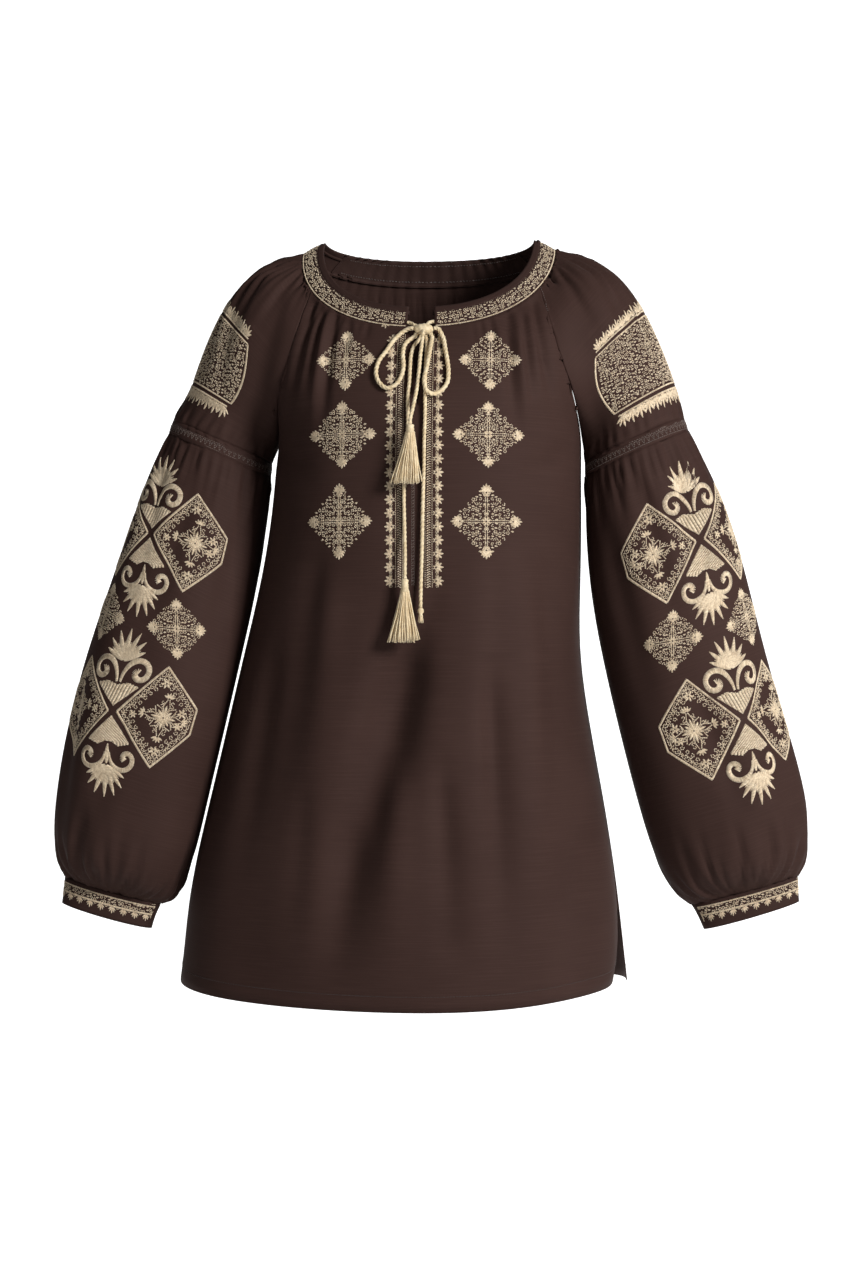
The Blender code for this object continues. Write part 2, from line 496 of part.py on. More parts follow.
def build_body(materials):
    """Front, back and the two sleeve tops, whose seams share their wall directions."""
    downs = YOKE_ROWS + BODY_ROWS
    front_table = body_table(FRONT, 0.0, RAGLAN_FRONT_DEG)
    back_table = body_table(BACK, 180.0, RAGLAN_BACK_DEG)
    half = FRONT_COLUMNS // 2
    front_shares = []
    for down in downs:
        left, right = slit_share(front_table, down, False), slit_share(front_table, down, True)
        front_shares.append([-1 + (1 - left) * i / half for i in range(half + 1)]
                            + [right + (1 - right) * i / half for i in range(half + 1)])
    back_columns = 2 * BACK_GATHERS
    back_shares = [[-1 + 2 * i / back_columns for i in range(back_columns + 1)]] * len(downs)
    panels = {}
    panels["front"] = grid(lambda s, d: body_point(front_table, s, d),
                           lambda p, s, d: body_relief(p, s, d, FRONT_FOLDS, 0), front_shares, downs, 1)
    panels["back"] = grid(lambda s, d: body_point(back_table, s, d),
                          lambda p, s, d: body_relief(p, s, d, BACK_FOLDS, BACK_GATHERS), back_shares, downs, -1)
    sleeve_downs = YOKE_ROWS + (BAND_TOP - 0.012, BAND_TOP)
    columns = 2 * SLEEVE_GATHERS
    sleeve_shares = [[i / columns for i in range(columns + 1)]] * len(sleeve_downs)
    tables = {-1: sleeve_table(-1, SLEEVE_LEFT), 1: sleeve_table(1, SLEEVE_RIGHT)}
    for side, name in ((-1, "upper_sleeve_left"), (1, "upper_sleeve_right")):
        panels[name] = grid(lambda s, d, k=side: sleeve_point(tables[k], k, max(s, 0.0), d),
                            lambda p, s, d: sleeve_relief(s, d), sleeve_shares, sleeve_downs, side)
    yoke = len(YOKE_ROWS)
    for column, sleeve in ((0, "upper_sleeve_left"), (-1, "upper_sleeve_right")):
        share_seam(panels["front"][1][:yoke, column], panels[sleeve][1][:yoke, 0])
        share_seam(panels["back"][1][:yoke, column], panels[sleeve][1][:yoke, -1])
        share_seam(panels["front"][1][yoke - 1:, column], panels["back"][1][yoke - 1:, column])

    slit_rows = len(SLIT)
    places, normals = panels["front"]
    round_corners(places, front_shares[-1])
    draw_in(places, ("neck", "start", "end"))
    build_wall("front", places, normals, CLOTH, materials["cloth"],
               same=lambda r, c: (r, half) if r >= slit_rows and c == half + 1 else (r, c),
               skip=lambda r, c: c == half)
    places, normals = panels["back"]
    draw_in(places, ("neck", "start", "end"))
    build_wall("back", places, normals, CLOTH, materials["cloth"], outward=-1)
    for side, name in ((-1, "upper_sleeve_left"), (1, "upper_sleeve_right")):
        places, normals = panels[name]
        open_rows = yoke - 1
        draw_in(places, ("neck", "bottom"))
        for column, beside in ((0, 1), (-1, -2)):
            ahead = places[:open_rows, beside] - places[:open_rows, column]
            places[:open_rows, column] += GAP / 2 * np.array([unit(v) for v in ahead])
        build_wall(name, places, normals, CLOTH, materials["cloth"], outward=side,
                   same=lambda r, c: (r, 0) if r >= open_rows and c == columns else (r, c))
    return tables


def round_corners(places, shares):
    """Lifts the front hem's two lowest corners beside the vents."""
    for c, share in enumerate(shares):
        places[-1, c, 2] += 0.007 * smooth(abs(share), 0.90, 1.0)


def build_tube(name, table, side, downs, thickness, material, gathered):
    """A sleeve's closed ring of cloth between two rows, drawn in at both seams."""
    columns = 2 * SLEEVE_GATHERS
    shares = [[i / columns for i in range(columns + 1)]] * len(downs)
    relief = (lambda p, s, d: sleeve_relief(s, d)) if gathered else (lambda p, s, d: 0.0)
    places, normals = grid(lambda s, d: sleeve_point(table, side, s % 1.0, d), relief, shares, downs, side)
    draw_in(places, ("top", "bottom"))
    build_wall(name, places, normals, thickness, material, outward=side,
               same=lambda r, c: (r, c % columns))


def build_neckband(materials):
    """The embroidered band and its plain binding on each side, and the gathered casing at the back."""
    for side, word in ((-1, "left"), (1, "right")):
        for name, start, end, rows in (("neck_binding", 0.0, BINDING_SHARE, 1), ("neckband", BINDING_SHARE, 1.0, 2)):
            count = 32
            degrees = [side * (SLIT_DEG + (RAGLAN_BACK_DEG - SLIT_DEG) * i / count) for i in range(count + 1)]
            shares = [start + (end - start) * i / rows for i in range(rows + 1)]
            places = np.array([[neck_surface(angle, share) for angle in degrees] for share in shares])
            normals = band_normals(degrees, len(shares), side)
            draw_in(places, ("top", "bottom", "end") if name == "neckband" else ("bottom", "end"))
            material = materials["binding" if name == "neck_binding" else "band"]
            build_wall(f"{name}_{word}", places, normals, BAND_CLOTH, material, outward=side)
    columns = 2 * BACK_GATHERS
    span = 180.0 - RAGLAN_BACK_DEG
    degrees = [180.0 + span * (1 - 2 * i / columns) for i in range(columns + 1)]
    places = np.array([[neck_surface(angle, share) for angle in degrees] for share in (0.0, 0.5, 1.0)])
    normals = band_normals(degrees, 3, -1)
    for c in range(columns + 1):
        calm = 1 - smooth(abs(1 - 2 * c / columns), 0.80, 1.0)
        places[:, c] += normals[:, c] * BACK_GATHER_HEIGHT * calm * (-1) ** c
    draw_in(places, ("bottom", "start", "end"))
    build_wall("neck_casing_back", places, normals, BAND_CLOTH, materials["binding"], outward=-1)


def band_normals(degrees, rows, side):
    """The neck ring's facing at each angle, repeated for every row."""
    line = []
    for angle in degrees:
        down = neck_edge(NECK_OUTER, angle) - neck_edge(NECK_INNER, angle)
        ahead = neck_edge(NECK_OUTER, angle + 1.0) - neck_edge(NECK_OUTER, angle - 1.0)
        line.append(unit(np.cross(down, ahead)))
    return np.array([line] * rows)


def smooth_route(points, count):
    """Points along a smooth curve through a cord's own points, closer together where those are."""
    points = np.array(points)
    lengths = np.concatenate(([0.0], np.cumsum(np.linalg.norm(np.diff(points, axis=0), axis=1))))
    table = Table(np.column_stack((lengths, points)))
    wanted = np.interp(np.linspace(0, len(points) - 1, count - 2), np.arange(len(points)), lengths)
    wanted[0], wanted[-1] = END_STEP, lengths[-1] - END_STEP
    return np.array([table.at(run) for run in (0.0, *wanted, lengths[-1])])


def build_cord(name, points, count, diameter, material):
    """A round cord with flat ends along a smooth route."""
    data = bpy.data.curves.new(name, "CURVE")
    data.dimensions = "3D"
    data.bevel_depth = diameter / 2
    data.bevel_resolution = 2
    data.use_fill_caps = True
    spline = data.splines.new("POLY")
    route = smooth_route(points, count)
    spline.points.add(len(route) - 1)
    for place, point in zip(route, spline.points):
        point.co = (*place, 1.0)
    spline.use_smooth = True
    item = bpy.data.objects.new(name, data)
    bpy.context.scene.collection.objects.link(item)
    item.data.materials.append(material)


def build_knot(material):
    """The tie's knot, a flattened ball."""
    mesh = bmesh.new()
    bmesh.ops.create_uvsphere(mesh, u_segments=12, v_segments=8, radius=1.0)
    for vert in mesh.verts:
        vert.co = [centre + radius * value for centre, radius, value in zip(KNOT_CENTRE, KNOT_RADII, vert.co)]
    for face in mesh.faces:
        face.smooth = True
    finish("tie_knot", mesh, material)


def turned(name, centre, profile, material, sides=12):
    """A shape turned about a vertical axis from distance down and radius."""
    mesh = bmesh.new()
    rings = []
    for down, radius in profile:
        ring = []
        for i in range(sides):
            angle = 2 * math.pi * i / sides
            ring.append(mesh.verts.new((centre[0] + radius * math.cos(angle),
                                        centre[1] + radius * math.sin(angle), centre[2] - down)))
        rings.append(ring)
    for upper, lower in zip(rings, rings[1:]):
        for i in range(sides):
            j = (i + 1) % sides
            mesh.faces.new((upper[i], upper[j], lower[j], lower[i]))
    mesh.faces.new(rings[0])
    mesh.faces.new(rings[-1])
    for face in mesh.faces:
        face.smooth = len(face.verts) == 4
    return finish(name, mesh, material)


def build_tassel(name, x, y, top, head_radius, head_height, half_width, half_depth, length, lean, material):
    """A bound head with a skirt of separate strands drawn out of its foot."""
    mesh = bmesh.new()
    sides = TASSEL_SECTORS
    profile = ((0.0, 0.5), (0.12, 0.9), (0.45, 0.8), (0.6, 1.0), (1.0, 1.25))
    rings = []
    for down, radius in profile:
        rings.append([mesh.verts.new((x + head_radius * radius * math.cos(2 * math.pi * i / sides),
                                      y + head_radius * radius * math.sin(2 * math.pi * i / sides),
                                      top - down * head_height)) for i in range(sides)])
    mesh.faces.new(rings[0])
    for radius in (0.80, 0.35):
        rings.append([mesh.verts.new((x + head_radius * radius * math.cos(2 * math.pi * i / sides),
                                      y + head_radius * radius * math.sin(2 * math.pi * i / sides),
                                      top - head_height)) for i in range(sides)])
    roots = []
    for number, (upper, lower) in enumerate(zip(rings, rings[1:])):
        for i in range(sides):
            j = (i + 1) % sides
            face = mesh.faces.new((upper[i], upper[j], lower[j], lower[i]))
            if number >= len(profile) - 1:
                roots.append((face, number - len(profile) + 1, i))
    mesh.faces.new(rings[-1])
    for face, ring, i in roots:
        bmesh.ops.inset_individual(mesh, faces=[face], thickness=head_radius * 0.035, depth=0.0)
        strand = bmesh.ops.extrude_discrete_faces(mesh, faces=[face])["faces"][0]
        angle = 2 * math.pi * (i + 0.5 + 0.25 * ring) / sides
        reach = 1.0 if ring == 0 else 0.55
        wobble = 0.0016 * math.sin(5.1 * i + 2.3 * ring)
        drop = length - head_height - 0.0022 * (1 + math.sin(7.7 * i + ring))
        target = np.array((x + lean + (half_width * reach + wobble) * math.cos(angle),
                           y + (half_depth * reach + wobble * 0.4) * math.sin(angle), top - head_height - drop))
        centre = np.array(strand.calc_center_median())
        for vert in strand.verts:
            offset = np.array(vert.co) - centre
            vert.co = target + offset * (1.35 if ring == 0 else 1.15)
    bmesh.ops.triangulate(mesh, faces=[face for face in mesh.faces if len(face.verts) == 4])
    return finish(name, mesh, material)


clear_scene()
palette = {name: make_material(name, colour, roughness) for name, (colour, roughness) in COLOURS.items()}
sleeve_tables = build_body(palette)
for hand, word in ((-1, "left"), (1, "right")):
    build_tube(f"sleeve_insertion_{word}", sleeve_tables[hand], hand, (BAND_TOP, BAND_BOTTOM), CLOTH,
               palette["insertion"], False)
    build_tube(f"lower_sleeve_{word}", sleeve_tables[hand], hand, LOWER_SLEEVE_ROWS, CLOTH, palette["cloth"], True)
    build_tube(f"cuff_{word}", sleeve_tables[hand], hand, CUFF_ROWS, CUFF_CLOTH, palette["band"], False)
build_neckband(palette)
for name, route, count, diameter in CORDS:
    build_cord(name, route, count, diameter, palette["cord"])
build_knot(palette["cord"])
turned("tie_end_knot", END_KNOT_CENTRE, END_KNOT_PROFILE, palette["cord"])
for tassel in TASSELS:
    build_tassel(*tassel, palette["cord"])
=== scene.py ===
# %% [markdown]
# # An embroidered blouse
# The solids of the blouse come in as a fixed frame: closed walls of cloth, a tied cord and two tassels.
# This lesson dresses them. Each panel becomes a thin shell with its creases, every motif is laid down as
# real stitches, and the cord is twisted. All lengths are in metres unless a name says millimetres.

# %% The frame
import copy
import math

import bmesh
import bpy
import numpy as np
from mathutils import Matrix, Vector
from mathutils.bvhtree import BVHTree


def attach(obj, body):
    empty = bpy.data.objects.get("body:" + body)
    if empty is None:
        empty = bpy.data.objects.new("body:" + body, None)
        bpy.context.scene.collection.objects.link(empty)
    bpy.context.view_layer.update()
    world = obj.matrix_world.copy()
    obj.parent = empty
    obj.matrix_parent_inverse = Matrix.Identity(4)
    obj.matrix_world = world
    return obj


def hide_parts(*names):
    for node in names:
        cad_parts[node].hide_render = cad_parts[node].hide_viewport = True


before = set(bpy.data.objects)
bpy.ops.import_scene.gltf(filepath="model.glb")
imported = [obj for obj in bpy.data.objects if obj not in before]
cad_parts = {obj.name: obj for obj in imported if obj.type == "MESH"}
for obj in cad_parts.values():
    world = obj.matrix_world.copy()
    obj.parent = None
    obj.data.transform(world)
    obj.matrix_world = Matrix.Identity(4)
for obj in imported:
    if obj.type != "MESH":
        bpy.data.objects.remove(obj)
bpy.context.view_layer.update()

# %% [markdown]
# ## The camera
# The photograph was taken with the lens level with the blouse's middle and a few degrees to its right.
# A long lens from 2.2 m keeps both sleeves in proportion. The sensor's width belongs to the picture's long
# side, which is its height here, so the lens follows from how much height it takes in.

# %% Camera
CAMERA_YAW = math.radians(4.5)
CAMERA_DISTANCE = 2.2
CAMERA_TARGET = Vector((-0.0045, 0.0, -0.395))
HEIGHT_IN_VIEW = 1.28
SENSOR_MM = 36.0

camera_data = bpy.data.cameras.new("camera")
camera_data.sensor_width = SENSOR_MM
camera_data.lens = SENSOR_MM * CAMERA_DISTANCE / HEIGHT_IN_VIEW
camera = bpy.data.objects.new("camera", camera_data)
bpy.context.scene.collection.objects.link(camera)
camera.location = CAMERA_TARGET + CAMERA_DISTANCE * Vector((math.sin(CAMERA_YAW), -math.cos(CAMERA_YAW), 0.0))
camera.rotation_euler = (math.radians(90.0), 0.0, CAMERA_YAW)
bpy.context.scene.camera = camera
print("camera: lens", round(camera_data.lens, 2), "mm")

# %% [markdown]
# ## The tie cord
# The real cord is a soft twisted cotton cord that leaves each end of the neckband, is tied in a bow and ends
# in tassels. Its routes repeat the frame's. A cord can be a plain round bevel, but the twist shows from a
# step away, so the bevel takes a three-lobed section, and each point is tilted a little more than the last.

# %% Cord routes
CORD_DIAMETER = 0.0045
THIN_CORD_DIAMETER = 0.0038
ROUTES = {
    "tie_loop_left": (
        (-0.0080, -0.1119, -0.0994), (-0.0107, -0.1117, -0.0990), (-0.0165, -0.1108, -0.1012),
        (-0.0247, -0.1129, -0.1082), (-0.0326, -0.1195, -0.1204), (-0.0408, -0.1233, -0.1331),
        (-0.0424, -0.1259, -0.1429), (-0.0393, -0.1283, -0.1517), (-0.0316, -0.1303, -0.1576),
        (-0.0240, -0.1301, -0.1549), (-0.0185, -0.1287, -0.1472), (-0.0163, -0.1263, -0.1370),
        (-0.0172, -0.1222, -0.1238), (-0.0150, -0.1173, -0.1142), (-0.0100, -0.1140, -0.1092),
        (-0.0065, -0.1121, -0.1066), (-0.0051, -0.1120, -0.1042)),
    "tie_loop_right": (
        (0.0114, -0.1119, -0.0994), (0.0141, -0.1118, -0.0992), (0.0192, -0.1132, -0.1060),
        (0.0230, -0.1201, -0.1211), (0.0251, -0.1239, -0.1320), (0.0263, -0.1268, -0.1427),
        (0.0250, -0.1296, -0.1534), (0.0191, -0.1319, -0.1611), (0.0122, -0.1358, -0.1641),
        (0.0062, -0.1390, -0.1605), (0.0045, -0.1388, -0.1538), (0.0066, -0.1336, -0.1374),
        (0.0084, -0.1272, -0.1245), (0.0096, -0.1190, -0.1128), (0.0094, -0.1131, -0.1068),
        (0.0081, -0.1126, -0.1043)),
    "tie_tail_lower": (
        (-0.0006, -0.1117, -0.1056), (-0.0012, -0.1120, -0.1080), (-0.0042, -0.1142, -0.1120),
        (-0.0076, -0.1185, -0.1180), (-0.0095, -0.1230, -0.1275), (-0.0099, -0.1260, -0.1360),
        (-0.0103, -0.1297, -0.1502), (-0.0115, -0.1329, -0.1656), (-0.0112, -0.1369, -0.1933),
        (-0.0134, -0.1390, -0.2250), (-0.0146, -0.1405, -0.2545), (-0.0139, -0.1426, -0.2921),
        (-0.0130, -0.1474, -0.3180), (-0.0130, -0.1493, -0.3290), (-0.0130, -0.1495, -0.3340),
        (-0.0130, -0.1495, -0.3377)),
    "tie_tail_upper": (
        (0.0019, -0.1171, -0.1020), (0.0019, -0.1196, -0.1031), (0.0016, -0.1228, -0.1085),
        (0.0008, -0.1262, -0.1180), (-0.0002, -0.1290, -0.1280), (-0.0012, -0.1328, -0.1430),
        (-0.0024, -0.1360, -0.1560), (-0.0042, -0.1402, -0.1680), (-0.0062, -0.1460, -0.1800),
        (-0.0077, -0.1500, -0.1880), (-0.0080, -0.1505, -0.1910), (-0.0080, -0.1505, -0.1936)),
    "tie_tail_knotted": (
        (0.0038, -0.1106, -0.1055), (0.0042, -0.1108, -0.1078), (0.0047, -0.1140, -0.1118),
        (0.0051, -0.1180, -0.1172), (0.0051, -0.1216, -0.1239), (0.0048, -0.1270, -0.1396),
        (0.0048, -0.1343, -0.1677), (0.0048, -0.1362, -0.1858), (0.0043, -0.1384, -0.2057),
        (0.0040, -0.1402, -0.2350), (0.0031, -0.1413, -0.2700), (0.0023, -0.1420, -0.3150),
        (0.0014, -0.1422, -0.3450), (0.0012, -0.1424, -0.3570), (0.0012, -0.1424, -0.3645)),
    "tie_stub_left": (
        (-0.0148, -0.1012, -0.0920), (-0.0120, -0.1018, -0.0925), (-0.0082, -0.1046, -0.0948),
        (-0.0052, -0.1061, -0.0963), (-0.0041, -0.1082, -0.0975)),
    "tie_stub_right": (
        (0.0108, -0.1012, -0.0915), (0.0085, -0.1014, -0.0915), (0.0058, -0.1032, -0.0930),
        (0.0042, -0.1054, -0.0953), (0.0038, -0.1076, -0.0968)),
}
print("routes:", ", ".join(ROUTES))

# %% A smooth line through a route's points
def run_along(points):
    """How far along a line each of its points is."""
    return np.concatenate(([0.0], np.cumsum(np.linalg.norm(np.diff(points, axis=0), axis=1))))


def looked_up(wanted, run, rows):
    """Rows at some distances along a run, in between the rows that are known."""
    return np.stack([np.interp(wanted, run, column) for column in np.transpose(rows)], axis=-1)


def smooth_line(route, step):
    """Points a step apart along a smooth curve through a route's own points."""
    knots = np.array(route, float)
    run = run_along(knots)
    slopes = np.gradient(knots, run, axis=0)
    wanted = np.linspace(0.0, run[-1], max(int(run[-1] / step), 3) + 1)
    i = np.clip(np.searchsorted(run, wanted, side="right") - 1, 0, len(run) - 2)
    gap = (run[i + 1] - run[i])[:, None]
    t = (wanted - run[i])[:, None] / gap
    return ((2 * t**3 - 3 * t**2 + 1) * knots[i] + (t**3 - 2 * t**2 + t) * gap * slopes[i]
            + (3 * t**2 - 2 * t**3) * knots[i + 1] + (t**3 - t**2) * gap * slopes[i + 1])


def length_of(points):
    return float(run_along(points)[-1])


print("left loop:", round(length_of(smooth_line(ROUTES["tie_loop_left"], 0.001)), 4), "m")

# %% Putting finished meshes in the scene
def add_piece(name, data, material, slot, *nodes):
    """Links a mesh as a piece of the blouse that rides on its one body and stands for some solids."""
    piece = bpy.data.objects.new(name, data)
    bpy.context.scene.collection.objects.link(piece)
    data.materials.clear()
    data.materials.append(material)
    data.shade_smooth()
    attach(piece, "root")
    if nodes:
        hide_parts(*nodes)
    return piece


def finished_mesh(mesh, name):
    """A bmesh turned into a mesh with a name. The bmesh is freed."""
    data = bpy.data.meshes.new(name)
    mesh.to_mesh(data)
    mesh.free()
    return data


def evaluated_mesh(item):
    """What an object looks like with its modifiers, as a mesh of its own. The object is removed."""
    depsgraph = bpy.context.evaluated_depsgraph_get()
    data = bpy.data.meshes.new_from_object(item.evaluated_get(depsgraph))
    bpy.data.objects.remove(item, do_unlink=True)
    return data


print("helpers ready")

# %% [markdown]
# ## Materials
# Shader maths reads best as Python. A small class wraps a socket, and the usual operators add Math nodes, so
# a weave can be written as a product of two sines. Any other node comes from one method of the material.

# %% Shader maths
class Number:
    """A number that varies over a surface, with Python's operators."""

    def __init__(self, finish, socket):
        self.finish, self.socket = finish, socket

    def math(self, operation, *values):
        sockets = {0: self, **dict(enumerate(values, 1))}
        return self.finish.node("ShaderNodeMath", {"operation": operation}, sockets)

    def __add__(self, other):
        return self.math("ADD", other)

    def __radd__(self, other):
        return self.math("ADD", other)

    def __sub__(self, other):
        return self.math("SUBTRACT", other)

    def __rsub__(self, other):
        return self.finish.node("ShaderNodeMath", {"operation": "SUBTRACT"}, {0: other, 1: self})

    def __mul__(self, other):
        return self.math("MULTIPLY", other)

    def __rmul__(self, other):
        return self.math("MULTIPLY", other)

    def sine(self):
        return self.math("SINE")

    def between(self, low, high):
        """0 below low, 1 above high and smooth in between."""
        settings = {"interpolation_type": "SMOOTHSTEP"}
        return self.finish.node("ShaderNodeMapRange", settings, {0: self, 1: low, 2: high, 3: 0.0, 4: 1.0})


class Finish:
    """A material under construction."""

    def __init__(self, name, **constants):
        self.material = bpy.data.materials.new(name)
        self.material.use_nodes = True
        self.tree = self.material.node_tree
        self.shader = self.tree.nodes["Principled BSDF"]
        for socket, value in constants.items():
            self.shader.inputs[socket.replace("_", " ")].default_value = value

    def node(self, kind, settings=None, inputs=None, output=0):
        node = self.tree.nodes.new(kind)
        for name, value in (settings or {}).items():
            setattr(node, name, value)
        for key, value in (inputs or {}).items():
            self.feed(node.inputs[key], value)
        return Number(self, node.outputs[output])

    def feed(self, socket, value):
        if isinstance(value, Number):
            self.tree.links.new(value.socket, socket)
        else:
            socket.default_value = value

    def set(self, socket, value):
        self.feed(self.shader.inputs[socket], value)

    def place(self):
        return self.node("ShaderNodeTexCoord", output="Object")

    def cloth_place(self):
        """The piece's own flat coordinates, in metres across and down the cloth."""
        return self.node("ShaderNodeUVMap", {"uv_map": "cloth"})

    def stretched(self, vector, scale):
        return self.node("ShaderNodeVectorMath", {"operation": "MULTIPLY"}, {0: vector, 1: scale})

    def part(self, vector, axis):
        return self.node("ShaderNodeSeparateXYZ", None, {0: vector}, output=axis)

    def noise(self, vector, scale, detail=2.0):
        return self.node("ShaderNodeTexNoise", None, {"Vector": vector, "Scale": scale, "Detail": detail})

    def mix(self, factor, first, second):
        """Two colours mixed by a number."""
        return self.node("ShaderNodeMix", {"data_type": "RGBA"}, {0: factor, 6: first, 7: second}, output=2)

    def bump(self, height, distance, strength=1.0):
        sockets = {"Height": height, "Distance": distance, "Strength": strength}
        return self.node("ShaderNodeBump", None, sockets)


print("shader helpers ready")

# %% [markdown]
# ### The cloth
# The ground is a soft dark-brown viscose with a faint linen look: thin threads, some of them thicker, run
# across it, and a plain weave so fine that it only softens the light. A little sheen lifts it where it turns
# away.

# %% Cloth materials
THREAD_PITCH = 0.00062


def cloth_material(name, dark, light, roughness, weave_height=0.00006):
    finish = Finish(name, Roughness=roughness, Sheen_Weight=0.02, Sheen_Roughness=0.4)
    finish.shader.inputs["Specular IOR Level"].default_value = 0.10
    finish.shader.inputs["Sheen Tint"].default_value = (0.62, 0.46, 0.40, 1.0)
    cloth = finish.cloth_place()
    across, down = finish.part(cloth, 0), finish.part(cloth, 1)
    weave = (across * (2 * math.pi / THREAD_PITCH)).sine() * (down * (2 * math.pi / THREAD_PITCH)).sine()
    slub = finish.noise(finish.stretched(cloth, (22.0, 900.0, 1.0)), 1.0, 3.0)
    patch = finish.noise(finish.place(), 9.0, 2.0)
    tone = slub.between(0.40, 0.72) * 0.36 + patch.between(0.35, 0.70) * 0.30 + 0.12
    finish.set("Base Color", finish.mix(tone, (*dark, 1.0), (*light, 1.0)))
    finish.set("Normal", finish.bump(weave * 0.5 + slub * 1.1, weave_height, 0.6))
    return finish.material


CLOTH = cloth_material("brown_viscose", (0.0395, 0.0197, 0.0159), (0.0590, 0.0312, 0.0254), 0.74)
BINDING = cloth_material("folded_viscose", (0.0365, 0.0187, 0.0153), (0.0530, 0.0287, 0.0236), 0.74)
print("cloth materials:", CLOTH.name, BINDING.name)

# %% [markdown]
# ### Threads
# Stitches carry a number each, called shade, so that neighbouring stitches differ as real floss does. The
# same mix serves the cream embroidery floss, the brown openwork thread and the ivory cord.

# %% Thread materials
def thread_material(name, deep, pale, roughness, by_stitch=True):
    finish = Finish(name, Roughness=roughness, Sheen_Weight=0.25, Sheen_Roughness=0.4)
    finish.shader.inputs["Specular IOR Level"].default_value = 0.35
    speckle = finish.noise(finish.place(), 900.0, 2.0)
    tone = speckle.between(0.25, 0.75) * 0.5
    if by_stitch:
        shade = finish.node("ShaderNodeAttribute", {"attribute_name": "shade"}, output="Fac")
        tone = tone * 0.7 + shade * 0.65
    else:
        tone = tone + finish.noise(finish.place(), 160.0, 2.0).between(0.3, 0.7) * 0.5
    finish.set("Base Color", finish.mix(tone, (*deep, 1.0), (*pale, 1.0)))
    finish.set("Normal", finish.bump(speckle, 0.00012, 0.5))
    return finish.material


FLOSS = thread_material("cream_floss", (0.52, 0.385, 0.245), (0.95, 0.81, 0.60), 0.55)
OPENWORK = thread_material("brown_openwork_thread", (0.060, 0.040, 0.033), (0.200, 0.150, 0.125), 0.65)
SEAM_THREAD = thread_material("brown_seam_thread", (0.050, 0.033, 0.028), (0.115, 0.083, 0.072), 0.65)
HEM_THREAD = thread_material("dark_hem_thread", (0.018, 0.010, 0.008), (0.040, 0.022, 0.018), 0.70)
CORD = thread_material("ivory_cord", (0.62, 0.46, 0.25), (0.92, 0.78, 0.54), 0.60, by_stitch=False)
print("thread materials:", FLOSS.name, OPENWORK.name, SEAM_THREAD.name, HEM_THREAD.name, CORD.name)

# %% [markdown]
# ### Building the cord
# A Blender curve can sweep any closed section along its points and tilt it on the way. The result is made a
# mesh at once, and the helper curves are removed. Each stretch then prints its faces and length, and keeps
# its thickness.

# %% Twisted cord
CORD_STEP = 0.0010
TWIST_LENGTH = 0.0130
PLIES = 3


def twisted_cord(name, route, diameter):
    """A mesh tube of twisted plies along a route, and the points that it follows."""
    points = smooth_line(route, CORD_STEP)
    section = bpy.data.curves.new("section", "CURVE")
    ring = section.splines.new("POLY")
    sides = 5 * PLIES
    ring.points.add(sides - 1)
    ring.use_cyclic_u = True
    for i, point in enumerate(ring.points):
        angle = 2 * math.pi * i / sides
        radius = diameter / 2 * (0.89 + 0.11 * math.cos(PLIES * angle))
        point.co = (radius * math.cos(angle), radius * math.sin(angle), 0.0, 1.0)
    section_item = bpy.data.objects.new("section", section)
    curve = bpy.data.curves.new(name, "CURVE")
    curve.dimensions = "3D"
    curve.bevel_mode = "OBJECT"
    curve.bevel_object = section_item
    curve.use_fill_caps = True
    line = curve.splines.new("POLY")
    line.points.add(len(points) - 1)
    for i, (point, place) in enumerate(zip(line.points, points)):
        point.co = (*place, 1.0)
        point.tilt = 2 * math.pi * i * CORD_STEP / TWIST_LENGTH
    item = bpy.data.objects.new(name, curve)
    for helper in (section_item, item):
        bpy.context.scene.collection.objects.link(helper)
    data = evaluated_mesh(item)
    bpy.data.objects.remove(section_item, do_unlink=True)
    return data, points


cords = {}
for name, route in ROUTES.items():
    diameter = CORD_DIAMETER if "loop" in name else THIN_CORD_DIAMETER
    data, points = twisted_cord(name, route, diameter)
    cords[name] = (add_piece("twisted_" + name, data, CORD, "cord", name), points, diameter)
    print(name, len(data.polygons), "faces,", round(length_of(points), 4), "m")
